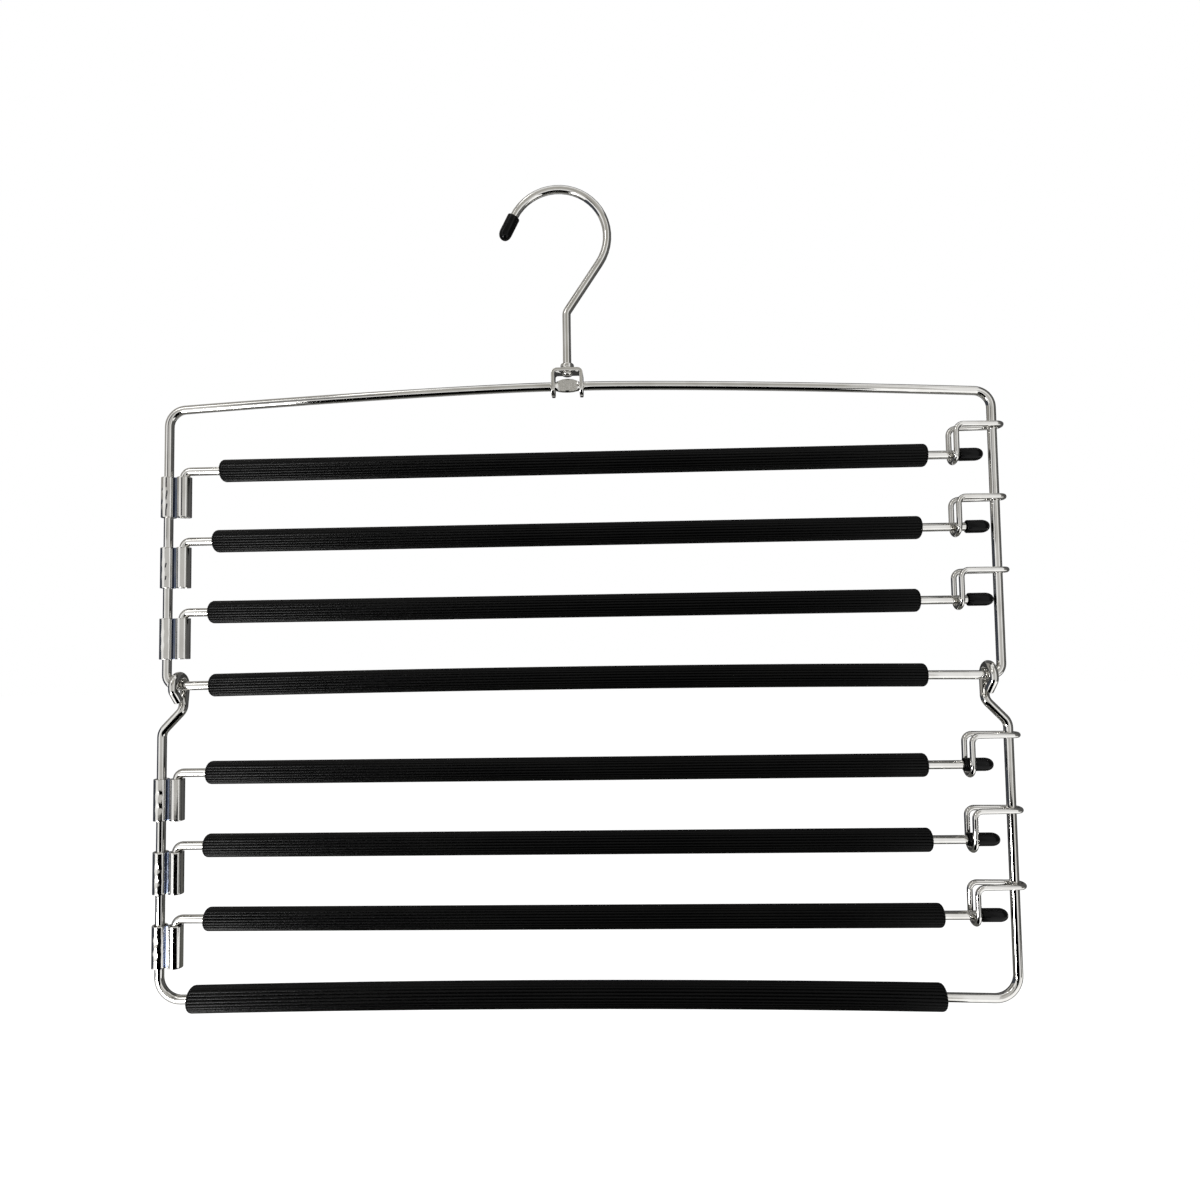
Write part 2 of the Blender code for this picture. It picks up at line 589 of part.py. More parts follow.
def main():
    clear_scene()
    parts = new_collection("folding_trouser_hanger")
    chrome = new_material("chrome_wire", *CHROME)
    foam = new_material("black_foam", *BLACK_FOAM)
    vinyl = new_material("black_vinyl", *BLACK_VINYL)
    finishes = (chrome, foam, vinyl)

    hook = joint_empty("hook_seat", None, (0, 0, 0), parts)
    piece("hook", hook_mesh(), chrome, hook)
    hook_tip = Vector((math.cos(HOOK_TIP_ANGLE), 0, math.sin(HOOK_TIP_ANGLE))) * HOOK_RADIUS
    hook_tip.z -= HOOK_INNER_RADIUS
    hook_cap = cap_mesh("hook_cap", HOOK_WIRE + 2 * RUNNING_GAP, HOOK_CAP_LENGTH)
    # The arc's end points down and left, and the cap's own axis is +Z
    piece("hook_tip_cap", hook_cap, vinyl, hook, hook_tip, (0, -HOOK_TIP_ANGLE, 0))

    swivel = joint_empty("swivel_axis", hook, (STEM_OFFSET, 0, WEB_Z), parts)
    piece("swivel_bracket", bracket_mesh(), chrome, swivel)

    rail = joint_empty("rail_axis", swivel, (0, 0, -RAIL_DROP), parts)
    piece("upper_frame", upper_frame_mesh(), chrome, rail)
    fold_start, fold_stop = (EYE_INSET + FRAME_RADIUS + margin for margin in FOLD_SLEEVE_MARGINS)
    fold_length, half = UPPER_WIDTH - fold_start - fold_stop, UPPER_WIDTH / 2
    fold_sleeve = crowned_sleeve_mesh(
        "fold_sleeve", SLEEVE_DIAMETER, fold_start, fold_length, half, FOLD_CROWN
    )
    fold_place = (BRACKET_OFFSET - half + fold_start, 0, FOLD_BAR_Z)
    piece("fold_bar_sleeve", fold_sleeve, foam, rail, fold_place)
    add_arms(rail, UPPER_WIDTH, BRACKET_OFFSET, UPPER_ARM_Z, 1, finishes)

    fold = joint_empty("fold_axis", rail, (BRACKET_OFFSET, 0, FOLD_BAR_Z), parts)
    piece("lower_frame", lower_frame_mesh(), chrome, fold)
    bottom_start, bottom_stop = (BOTTOM_BEND + FRAME_RADIUS + margin for margin in BOTTOM_SLEEVE_MARGINS)
    bottom_length, half = LOWER_WIDTH - bottom_start - bottom_stop, LOWER_WIDTH / 2
    bottom_sleeve = crowned_sleeve_mesh(
        "bottom_sleeve", BOTTOM_SLEEVE_DIAMETER, bottom_start, bottom_length, half, BOTTOM_CROWN
    )
    bottom_place = (bottom_start - half, 0, BOTTOM_BAR_Z)
    piece("bottom_bar_sleeve", bottom_sleeve, foam, fold, bottom_place)
    add_arms(fold, LOWER_WIDTH, 0, LOWER_ARM_Z, 1 + ARMS_PER_FRAME, finishes)


if __name__ == "__main__":
    main()
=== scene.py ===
"""Looks of a folding trouser hanger: bent chrome wire, ribbed foam, dipped caps and a white studio.

Sizes are in metres. +Z is up, +X runs along the bars and the front faces -Y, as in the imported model.
"""

import json
import math

import bpy
from bpy.props import FloatProperty, FloatVectorProperty, IntProperty, PointerProperty
from mathutils import Matrix, Vector


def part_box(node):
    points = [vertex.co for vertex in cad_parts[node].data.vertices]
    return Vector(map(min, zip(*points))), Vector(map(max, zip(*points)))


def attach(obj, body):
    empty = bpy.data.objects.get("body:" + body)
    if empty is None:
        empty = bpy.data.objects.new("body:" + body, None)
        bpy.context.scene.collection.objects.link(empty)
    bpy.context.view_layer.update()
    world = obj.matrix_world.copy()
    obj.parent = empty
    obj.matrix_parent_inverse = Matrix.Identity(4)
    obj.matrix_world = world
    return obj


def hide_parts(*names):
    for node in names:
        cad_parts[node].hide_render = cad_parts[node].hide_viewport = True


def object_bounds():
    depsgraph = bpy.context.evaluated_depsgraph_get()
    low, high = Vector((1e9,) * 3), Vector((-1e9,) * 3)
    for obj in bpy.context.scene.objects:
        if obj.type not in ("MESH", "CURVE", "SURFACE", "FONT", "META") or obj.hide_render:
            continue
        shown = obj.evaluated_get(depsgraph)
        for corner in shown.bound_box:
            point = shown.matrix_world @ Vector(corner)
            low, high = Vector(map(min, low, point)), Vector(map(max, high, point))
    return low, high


bl_info = {
    "name": "Folding Trouser Hanger",
    "version": (1, 0, 0),
    "blender": (4, 5, 0),
    "location": "View3D > Sidebar > Hanger",
    "description": "Models a folding trouser hanger of bent wire with foam sleeves, and its studio",
    "category": "Add Mesh",
}

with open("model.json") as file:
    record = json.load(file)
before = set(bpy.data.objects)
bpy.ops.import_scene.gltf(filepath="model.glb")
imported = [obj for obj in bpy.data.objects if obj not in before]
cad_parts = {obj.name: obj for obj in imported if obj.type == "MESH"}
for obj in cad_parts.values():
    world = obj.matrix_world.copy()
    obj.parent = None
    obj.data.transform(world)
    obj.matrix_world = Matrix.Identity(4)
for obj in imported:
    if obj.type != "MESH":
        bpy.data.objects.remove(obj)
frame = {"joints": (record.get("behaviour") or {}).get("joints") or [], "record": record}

CAD_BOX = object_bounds()
BODY_OF = {node: body for body, nodes in frame["record"]["behaviour"]["bodies"].items() for node in nodes}
AXIS_AT = {joint["name"]: Vector(joint["pos_m"]) for joint in frame["joints"]}
ARMS = (1, 2, 3, 4, 5, 6)

X_AXIS, Y_AXIS, Z_AXIS = Vector((1, 0, 0)), Vector((0, 1, 0)), Vector((0, 0, 1))
SMOOTH_BELOW = math.radians(40)  # edges that turn less than this are shaded smooth
STRAIGHT = 1e-5  # a corner that turns less than this is only a station
WELD = 1e-5  # points closer than this are one
BOSS_FLAT_POWER = 4  # how squarely the pressed boss thins out of the round wire
BOSS_ARCH_POWER = 2.2  # how squarely it grows taller
DOME_HEIGHT = 0.8  # share of the rivet head's height that is rounded
DOME_WIDTH = 0.6  # share of its radius that is rounded
RIB_POWER = 3  # how squarely a rib's crest stands between its grooves
LIP_STEPS = 6  # steps over the rounded lip of a cap
SEEN_RAYS = ("Is Camera Ray", "Is Glossy Ray", "Is Transmission Ray")
# Main colour and the colour of its patches, least and most roughness, and the scale and relief of the
# grain. The patches are dulled plating, except on the clips' creases, where both colours are a painted navy
# reflection.
CHROMES = {
    "chrome_wire": ("chrome", "tarnish", 0.03, 0.07, 700, 0.001),
    "chrome_sheet": ("chrome", "tarnish", 0.05, 0.11, 900, 0.012),
    "chrome_pressed": ("pressed", "tarnish", 0.30, 0.45, 2200, 0.30),
    # The clips' creases: the colours are a painted navy reflection; the roughness and grain are the
    # plating's own.
    "chrome_crease_painted_reflection": ("crease", "painted_crease_reflection_pale", 0.10, 0.20, 900, 0.012),
}


def length(name, description, default):
    """A length that the sidebar shows."""
    return FloatProperty(
        name=name, description=description, default=default, min=0, precision=5, unit="LENGTH"
    )


def turn(name, description, degrees):
    """An angle that the sidebar shows."""
    default = math.radians(degrees)
    return FloatProperty(
        name=name, description=description, default=default, subtype="ANGLE", unit="ROTATION"
    )


def share(name, description, default):
    """A plain number from 0 to 1."""
    return FloatProperty(name=name, description=description, default=default, min=0, max=1)


def number(name, description, default):
    """A count."""
    return IntProperty(name=name, description=description, default=default, min=1)


def colour(name, description, default):
    """A linear colour."""
    return FloatVectorProperty(
        name=name, description=description, default=default, size=3, min=0, max=1, subtype="COLOR"
    )


class HANGER_PG_detail(bpy.types.PropertyGroup):
    """How finely the pieces are meshed."""

    wire_sides: number("Wire sides", "Sides of each bent wire", 36)
    turned_sides: number("Turned sides", "Sides of each cap", 32)
    bend_step: turn("Bend step", "Most that one step of a bend turns", 7.5)
    rim_steps: number("Rim steps", "Steps over a rounded rim", 6)
    crown_steps: number("Crown steps", "Stretches of a crowned bar", 16)
    drill_sides: number("Drill sides", "Sides of each drilled hole", 48)
    edge_steps: number("Edge steps", "Steps over a rounded sheet edge", 2)
    cut_steps: number("Cut steps", "Steps over a cut wire's end", 3)
    cut_edge: length("Cut edge", "Rounding of a cut wire's end", 0.0004)


class HANGER_PG_hook(bpy.types.PropertyGroup):
    """The bent hook, with its swaged collar and riveted end."""

    wire: length("Wire", "Diameter of the hook's wire", 0.0038)
    inner_radius: length("Inner radius", "Inside of the hook's arc", 0.0207)
    tip_angle: turn("Tip angle", "Where the arc ends, from the right", 153)
    lean: turn("Lean", "Slant of the shank between the arc and the stem", 34)
    bend: length("Bend", "Radius of the bend above the stem", 0.0038)
    collar: length("Collar", "Diameter of the swaged collar", 0.0062)
    collar_height: length("Collar height", "Height of the swaged collar", 0.0025)
    collar_rim: length("Collar rim", "Rounding of the collar", 0.0009)
    clearance: length("Clearance", "Between the collar, the strap and the rivet's head", 0.0003)
    neck: length("Neck", "Diameter of the rivet's neck", 0.0032)
    head: length("Head", "Diameter of the rivet's head", 0.0050)
    head_height: length("Head height", "Height of the rivet's head", 0.0012)


class HANGER_PG_strap(bpy.types.PropertyGroup):
    """The strap that swivels below the hook."""

    sheet: length("Sheet", "Thickness of the strap", 0.0015)
    bend: length("Bend", "Inner radius of its two bends", 0.0010)
    toe_radius: length("Toe radius", "Rounding of its toes", 0.0034)
    toe_steps: number("Toe steps", "Steps round a toe's corner", 10)
    rail_hole: length("Rail hole", "Diameter of the holes for the rail", 0.0046)
    rivet_hole: length("Rivet hole", "Diameter of the hole for the hook's neck", 0.0038)
    edge: length("Edge", "Rounding of its edges", 0.0003)


class HANGER_PG_frames(bpy.types.PropertyGroup):
    """The two wire frames. Bends are measured at the wire's axis."""

    wire: length("Wire", "Diameter of the frames' wire", 0.0040)
    rail_rise: length("Rail rise", "Rise of the rail to its peak", 0.0069)
    rail_curve: FloatProperty(
        name="Rail curve", description="Power with which the rail falls to its corners", default=1.4, min=1
    )
    rail_level: length("Rail level", "Half of the level stretch at the peak", 0.01195)
    rail_bend: length("Rail bend", "Radius where the rail levels out", 0.0300)
    top_bend: length("Top bend", "Radius of the upper corners", 0.0078)
    fold_bend: length("Fold bend", "Radius at the fold bar's ends", 0.0050)
    fold_crown: length("Fold crown", "Rise of the fold bar in its middle", 0.0013)
    boss_half: length("Boss half", "Half the length of the pressed boss", 0.00535)
    boss_steps: number("Boss steps", "Steps from the boss's middle to its end", 6)
    boss_thickness: length("Boss thickness", "Thickness of the pressed boss", 0.0022)
    boss_height: length("Boss height", "Height of the pressed boss", 0.0064)
    boss_lift: length("Boss lift", "How far below the rail's axis the boss widens from", 0.0006)
    eye_inset: length("Eye inset", "From the upper side wire to the eye", 0.00565)
    eye_half: length("Eye half", "Half the eye's width", 0.0050)
    eye_top: length("Eye top", "Top of the eye above the fold bar", 0.0045)
    eye_drop: length("Eye drop", "Straight sides of the eye below the fold bar", 0.0020)
    eye_bend: length("Eye bend", "Radius where the eye's sides close in", 0.0030)
    kink_shift: length("Kink shift", "How far in from the eye the kink lies", 0.0020)
    kink_drop: length("Kink drop", "Kink below the fold bar", 0.0106)
    kink_bend: length("Kink bend", "Radius of the kink", 0.0035)
    tail_gap: length("Tail gap", "From the cut tail to the strand behind", 0.0003)
    shoulder_drop: length("Shoulder drop", "Shoulder below the fold bar", 0.0205)
    shoulder_bend: length("Shoulder bend", "Radius of the shoulder", 0.0060)
    lower_height: length("Lower height", "From the fold bar down to the bottom bar", 0.1387)
    bottom_bend: length("Bottom bend", "Radius of the lower corners", 0.0100)
    bottom_crown: length("Bottom crown", "Rise of the bottom bar in its middle", 0.0021)
    crown_bend: length("Crown bend", "Radius between a crown's stretches", 0.5000)


class HANGER_PG_arms(bpy.types.PropertyGroup):
    """The six swing arms with their clips and catches."""

    wire: length("Wire", "Diameter of an arm's wire", 0.0038)
    bend: length("Bend", "Radius above the pintle, at the wire's axis", 0.0030)
    pintle_offset: length("Pintle offset", "From the side wire to the pintle", 0.0072)
    clip_sheet: length("Clip sheet", "Thickness of a clip's sheet", 0.0008)
    clip_play: length("Clip play", "Between a clip and the wires in it", 0.0005)
    clip_waist: length("Clip waist", "Thickness of a clip between its tubes", 0.0017)
    clip_crease: length("Clip crease", "Radius of the creases beside the waist", 0.0006)
    # How far the painted navy reflection reaches on each side of a clip's seam.
    painted_reflection_reach: length("Crease reach", "How far the dull plating reaches from a clip's seam", 0.0010)
    clip_slit: length("Clip slit", "Open seam at the back of a clip", 0.0003)
    clip_edge: length("Clip edge", "Rounding of a clip's edges", 0.0002)
    clip_rows: number("Clip rows", "Rows of faces down a clip", 32)
    stake_depth: length("Stake depth", "Depth of a stake mark", 0.0002)
    stake_size: length("Stake size", "Radius of a stake mark", 0.0026)
    stake_high: share("High stake", "Place of the upper stake mark down the clip", 0.38)
    stake_low: share("Low stake", "Place of the lower stake mark down the clip", 0.70)
    catch_wire: length("Catch wire", "Diameter of a catch's wire", 0.0024)
    catch_bend: length("Catch bend", "Radius above a catch's cradle", 0.0032)
    round_end: share("Round end", "Share of a half width that a round end takes", 0.97)


class HANGER_PG_foam(bpy.types.PropertyGroup):
    """The ribbed foam sleeves."""

    ribs: number("Ribs", "Ribs round a sleeve", 24)
    rib_points: number("Rib points", "Points across one rib", 6)
    rib_depth: length("Rib depth", "Depth of the grooves between the ribs", 0.00050)
    edge: length("Edge", "Rounding of a sleeve's ends", 0.0018)
    play: length("Play", "Between a sleeve and its wire", 0.0003)
    fill: share("Fill", "How tightly the foam fills its skin", 0.9)


class HANGER_PG_caps(bpy.types.PropertyGroup):
    """The dipped caps on the wire ends."""

    play: length("Play", "Between a cap and its wire", 0.0003)
    wall: length("Wall", "Thickness of a cap", 0.0007)
    end_wall: length("End wall", "Thickness of a cap's end", 0.0022)
    nose: length("Nose", "Length of the rounded nose", 0.0036)
    blunt: length("Blunt", "Radius left flat at the nose", 0.0005)
    hook_cap: length("Hook cap", "Length of the cap on the hook", 0.0118)


class HANGER_PG_finish(bpy.types.PropertyGroup):
    """Colours of the finishes."""

    chrome: colour("Chrome", "Bright plating", (0.80, 0.79, 0.765))
    tarnish: colour("Tarnish", "Plating where it has dulled", (0.66, 0.645, 0.61))
    pressed: colour("Pressed", "Matt steel where the wire was pressed", (0.56, 0.55, 0.52))
    # The two crease colours are a painted reflection of a dark navy object beside the clips, paler in
    # random patches. They are not the plating's own colour.
    crease: colour("Crease", "Thin blued plating in the clips' creases", (0.10, 0.12, 0.17))
    painted_crease_reflection_pale: colour("Worn crease", "The creases where they have rubbed", (0.17, 0.18, 0.21))
    foam: colour("Foam", "Foam sleeves", (0.0009, 0.0009, 0.0010))
    foam_dust: colour("Foam dust", "Foam where it has greyed", (0.0022, 0.0022, 0.0021))
    vinyl: colour("Vinyl", "Dipped caps", (0.0020, 0.0020, 0.0022))
    vinyl_scuff: colour("Vinyl scuff", "Dipped caps where they have rubbed", (0.0045, 0.0045, 0.0045))


class HANGER_PG_studio(bpy.types.PropertyGroup):
    """The camera, lights and floor."""

    camera_place: FloatVectorProperty(
        name="Camera",
        description="Where the camera stands",
        default=(0.0286, -0.3700, -0.2066),
        unit="LENGTH",
    )
    camera_turn: FloatVectorProperty(
        name="Camera turn",
        description="How the camera is turned",
        default=[math.radians(angle) for angle in (92.968, 0.883, 1.878)],
        subtype="EULER",
        unit="ROTATION",
    )
    camera_lens: FloatProperty(name="Lens", description="Focal length on a 36 mm film", default=24.855)
    floor_drop: length("Floor drop", "How far the floor lies below the bottom bar", 0.30)
    floor_size: length("Floor size", "Width of the floor", 16.0)
    floor_glow: share("Floor glow", "Light that the floor shows beyond what falls on it", 0.35)
    room_light: share("Room light", "Light that the white room throws on the hanger", 0.70)
    key_power: FloatProperty(name="Key", description="Power of the key light", default=8.0, unit="POWER")
    fill_power: FloatProperty(name="Fill", description="Power of the fill light", default=3.0, unit="POWER")


class HANGER_PG_settings(bpy.types.PropertyGroup):
    """All settings of the hanger."""

    detail: PointerProperty(type=HANGER_PG_detail)
    hook: PointerProperty(type=HANGER_PG_hook)
    strap: PointerProperty(type=HANGER_PG_strap)
    frames: PointerProperty(type=HANGER_PG_frames)
    arms: PointerProperty(type=HANGER_PG_arms)
    foam: PointerProperty(type=HANGER_PG_foam)
    caps: PointerProperty(type=HANGER_PG_caps)
    finish: PointerProperty(type=HANGER_PG_finish)
    studio: PointerProperty(type=HANGER_PG_studio)


def settings():
    """The hanger's settings in the open scene."""
    return bpy.context.scene.trouser_hanger


def take_up(obj):
    """Makes a piece the active one and the only one selected."""
    bpy.ops.object.select_all(action="DESELECT")
    obj.select_set(True)
    bpy.context.view_layer.objects.active = obj


def begin_piece(name, scale=(1, 1, 1)):
    """Names and scales the mesh that was added last, and opens it in edit mode with all selected."""
    obj = bpy.context.object
    obj.name = name
    obj.data.name = name
    obj.scale = scale
    bpy.ops.object.transform_apply(location=True, rotation=True, scale=True)
    bpy.ops.object.mode_set(mode="EDIT")
    bpy.ops.mesh.select_all(action="SELECT")
    return obj


def new_ring(name, centre, along, radius, sides, fill="NOTHING"):
    """Starts a piece as a ring about an axis, selected in edit mode."""
    bpy.ops.object.select_all(action="DESELECT")
    facing = Vector(along).to_track_quat("Z", "Y").to_euler()
    bpy.ops.mesh.primitive_circle_add(
        vertices=sides, radius=radius, fill_type=fill, location=centre, rotation=facing
    )
    return begin_piece(name)


def draw_out(offset):
    """Extrudes what is selected."""
    bpy.ops.mesh.extrude_region_move(TRANSFORM_OT_translate={"value": offset})


def spin_round(centre, axis, angle):
    """Spins what is selected by the right-hand rule, which the operator itself turns against."""
    steps = max(1, math.ceil(angle / settings().detail.bend_step - STRAIGHT))
    bpy.ops.mesh.spin(steps=steps, angle=angle, center=centre, axis=-axis)


def scale_ring(factors, centre):
    """Scales what is selected about a centre."""
    bpy.ops.transform.resize(value=factors, center_override=centre)


def select_points(obj, accepts):
    """Selects the points whose index and place a test accepts, in edit mode."""
    bpy.ops.mesh.select_all(action="DESELECT")
    bpy.ops.object.mode_set(mode="OBJECT")
    for point in obj.data.vertices:
        point.select = accepts(point.index, point.co)
    bpy.ops.object.mode_set(mode="EDIT")


def corner_runs(corners, closed=False):
    """The runs of a wire through its corners, each given as a place and the radius of its bend.

    A run goes straight to a point, and then turns by an angle about an axis through a centre.
    """
    places = [Vector(place) for place, _ in corners]
    last = len(places) - 1
    runs = []
    for index, place in enumerate(places):
        if index == 0 and not closed:
            continue
        back = (places[index - 1] - place).normalized()
        ahead = (places[(index + 1) % len(places)] - place).normalized()
        angle = math.pi - back.angle(ahead)
        if angle < STRAIGHT or (index == last and not closed):
            runs.append((place, None, None, 0))
            continue
        radius = corners[index][1]
        reach = radius * math.tan(angle / 2)
        centre = place + (back + ahead).normalized() * radius / math.cos(angle / 2)
        runs.append((place + back * reach, centre, ahead.cross(back).normalized(), angle))
    return runs


def draw_runs(here, runs):
    """Draws the selected ring along a wire's runs."""
    for place, centre, axis, angle in runs:
        if (place - here).length > WELD:
            draw_out(place - here)
            here = place
        if angle:
            spin_round(centre, axis, angle)
            here = centre + Matrix.Rotation(angle, 3, axis) @ (here - centre)


def draw_profile(start, along, radius, stations):
    """Draws the selected ring along an axis, scaled at each station to a distance and a radius."""
    here = 0
    for distance, wanted in stations:
        draw_out(along * (distance - here))
        scale_ring((wanted / radius,) * 3, start + along * distance)
        here, radius = distance, wanted


def rim(distance, radius, depth, height, closing, steps):
    """Stations over a rounded rim, which opens out from or closes in to a distance by a height."""
    stations = []
    for step in range(steps + 1):
        angle = math.pi / 2 * step / steps
        rise, fall = 1 - math.cos(angle), 1 - math.sin(angle)
        if closing:
            stations.append((distance - depth * fall, radius - height * rise))
        else:
            stations.append((distance + depth * rise, radius - height * fall))
    return stations


def face_outward():
    """Turns all faces of the open piece outward."""
    bpy.ops.mesh.select_all(action="SELECT")
    bpy.ops.mesh.normals_make_consistent(inside=False)


def close_wire(sides, bevel_ends):
    """Welds a wire's loop or rounds its cut ends, and turns its faces outward."""
    detail = settings().detail
    bpy.ops.mesh.select_all(action="SELECT")
    bpy.ops.mesh.remove_doubles(threshold=WELD)
    face_outward()
    if bevel_ends:
        bpy.ops.mesh.select_all(action="DESELECT")
        bpy.ops.mesh.select_face_by_sides(number=sides, type="EQUAL")
        bpy.ops.mesh.bevel(offset=detail.cut_edge, segments=detail.cut_steps, affect="EDGES")


def open_wire(name, corners, diameter):
    """A bent wire with two cut ends."""
    sides = settings().detail.wire_sides
    start = Vector(corners[0][0])
    obj = new_ring(name, start, Vector(corners[1][0]) - start, diameter / 2, sides, "NGON")
    draw_runs(start, corner_runs(corners))
    close_wire(sides, True)
    return obj


def wire_loop(name, corners, diameter):
    """A bent wire whose ends are joined."""
    sides = settings().detail.wire_sides
    runs = corner_runs(corners, closed=True)
    place, centre, axis, angle = runs[-1]
    start = centre + Matrix.Rotation(angle, 3, axis) @ (place - centre)
    obj = new_ring(name, start, runs[0][0] - start, diameter / 2, sides)
    draw_runs(start, runs)
    close_wire(sides, False)
    return obj


def crowned_bar(middle, half, height, crown):
    """Corners along a bar that rises to its middle, without its two ends."""
    steps = settings().detail.crown_steps
    corners = []
    for step in range(1, steps):
        across = 2 * step / steps - 1
        rise = crown * (1 - across**2)
        corners.append((Vector((middle + half * across, 0, height + rise)), settings().frames.crown_bend))
    return corners


def apply_modifier(obj, kind, **values):
    """Adds a modifier, sets it and applies it."""
    modifier = obj.modifiers.new(kind.lower(), kind)
    for key, value in values.items():
        setattr(modifier, key, value)
    bpy.ops.object.modifier_apply(modifier=modifier.name)


def thicken(obj, sheet):
    """Gives the open sheet its thickness, half to either side."""
    face_outward()
    bpy.ops.object.mode_set(mode="OBJECT")
    apply_modifier(obj, "SOLIDIFY", thickness=sheet, offset=0)


def round_edges(obj, width):
    """Rounds a sheet's cut edges."""
    steps = settings().detail.edge_steps
    apply_modifier(
        obj, "BEVEL", width=width, segments=steps, limit_method="ANGLE", angle_limit=SMOOTH_BELOW
    )


def bore_hole(obj, place, along, diameter, depth):
    """Drills a hole through a piece."""
    sides = settings().detail.drill_sides
    facing = along.to_track_quat("Z", "Y").to_euler()
    bpy.ops.mesh.primitive_cylinder_add(
        vertices=sides, radius=diameter / 2, depth=depth, location=place, rotation=facing
    )
    drill = bpy.context.object
    take_up(obj)
    apply_modifier(obj, "BOOLEAN", operation="DIFFERENCE", solver="EXACT", object=drill)
    bpy.data.objects.remove(drill, do_unlink=True)


def smooth_piece(obj, finish):
    """Leaves edit mode, smooths the piece and gives it its finish."""
    bpy.ops.object.mode_set(mode="OBJECT")
    bpy.ops.object.shade_smooth_by_angle(angle=SMOOTH_BELOW)
    obj.data.materials.append(finish)


def hand_over(obj, node):
    """Hands a finished piece to the body that its node belongs to."""
    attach(obj, BODY_OF[node])
    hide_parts(node)


def place_piece(obj, node, finish):
    """Smooths a piece, gives it its finish and hands it to its node's body."""
    smooth_piece(obj, finish)
    hand_over(obj, node)


def add_finish(obj, finish, accepts):
    """Gives a smoothed piece a second finish on the faces whose points a test accepts."""
    obj.data.materials.append(finish)
    bpy.ops.object.mode_set(mode="EDIT")
    select_points(obj, accepts)
    obj.active_material_index = 1
    bpy.ops.object.material_slot_assign()
    bpy.ops.object.mode_set(mode="OBJECT")


def new_finish(name, metallic, specular):
    """An empty finish. Returns it with its node tree, its shader and its object coordinates."""
    finish = bpy.data.materials.new(name)
    finish.use_nodes = True
    tree = finish.node_tree
    shader = tree.nodes["Principled BSDF"]
    shader.inputs["Metallic"].default_value = metallic
    shader.inputs["Specular IOR Level"].default_value = specular
    coordinates = tree.nodes.new("ShaderNodeTexCoord").outputs["Object"]
    return finish, tree, shader, coordinates


def add_noise(tree, coordinates, scale, detail, stretch=(1, 1, 1)):
    """A noise on the object's own coordinates."""
    mapping = tree.nodes.new("ShaderNodeMapping")
    mapping.inputs["Scale"].default_value = stretch
    noise = tree.nodes.new("ShaderNodeTexNoise")
    noise.inputs["Scale"].default_value = scale
    noise.inputs["Detail"].default_value = detail
    tree.links.new(coordinates, mapping.inputs["Vector"])
    tree.links.new(mapping.outputs["Vector"], noise.inputs["Vector"])
    return noise.outputs["Fac"]


def add_range(tree, value, low, high, start=0.35, stop=0.65):
    """Maps the middle of a noise to a range."""
    node = tree.nodes.new("ShaderNodeMapRange")
    node.inputs["From Min"].default_value = start
    node.inputs["From Max"].default_value = stop
    node.inputs["To Min"].default_value = low
    node.inputs["To Max"].default_value = high
    tree.links.new(value, node.inputs["Value"])
    return node.outputs["Result"]


def add_mix(tree, factor, first, second):
    """Mixes two colours by a factor."""
    node = tree.nodes.new("ShaderNodeMix")
    node.data_type = "RGBA"
    node.inputs["A"].default_value = (*first, 1)
    node.inputs["B"].default_value = (*second, 1)
    tree.links.new(factor, node.inputs["Factor"])
    return node.outputs["Result"]


def add_bump(tree, shader, height, strength, distance):
    """Raises a shader's surface by a height."""
    node = tree.nodes.new("ShaderNodeBump")
    node.inputs["Strength"].default_value = strength
    node.inputs["Distance"].default_value = distance
    tree.links.new(height, node.inputs["Height"])
    tree.links.new(node.outputs["Normal"], shader.inputs["Normal"])


def chrome_finish(name):
    """Plated steel with dulled patches, and a grain of pits and polishing marks. For the clips' creases the
    two colours are a painted navy reflection instead.
    """
    finish = bpy.data.materials.get(name)
    if finish:
        return finish
    bright, patch_tone, smooth, rough, grain, relief = CHROMES[name]
    colours = settings().finish
    finish, tree, shader, coordinates = new_finish(name, metallic=1, specular=0.5)
    clouds = add_noise(tree, coordinates, scale=90, detail=4)
    patches = add_range(tree, clouds, low=0, high=1, start=0.45, stop=0.75)
    plating = add_mix(tree, patches, getattr(colours, bright), getattr(colours, patch_tone))
    tree.links.new(plating, shader.inputs["Base Color"])
    marks = add_noise(tree, coordinates, scale=grain, detail=6)
    tree.links.new(add_range(tree, marks, smooth, rough), shader.inputs["Roughness"])
    add_bump(tree, shader, marks, strength=relief, distance=0.0001)
    return finish


def foam_finish():
    """Dull open foam with fine pores and greyed patches."""
    finish = bpy.data.materials.get("foam_ribbed")
    if finish:
        return finish
    colours = settings().finish
    finish, tree, shader, coordinates = new_finish("foam_ribbed", metallic=0, specular=0.12)
    clouds = add_noise(tree, coordinates, scale=140, detail=5, stretch=(0.2, 1, 1))
    patches = add_range(tree, clouds, low=0, high=1, start=0.42, stop=0.72)
    tree.links.new(add_mix(tree, patches, colours.foam, colours.foam_dust), shader.inputs["Base Color"])
    pores = add_noise(tree, coordinates, scale=2600, detail=3)
    tree.links.new(add_range(tree, pores, low=0.24, high=0.32), shader.inputs["Roughness"])
    add_bump(tree, shader, pores, strength=0.04, distance=0.0001)
    return finish


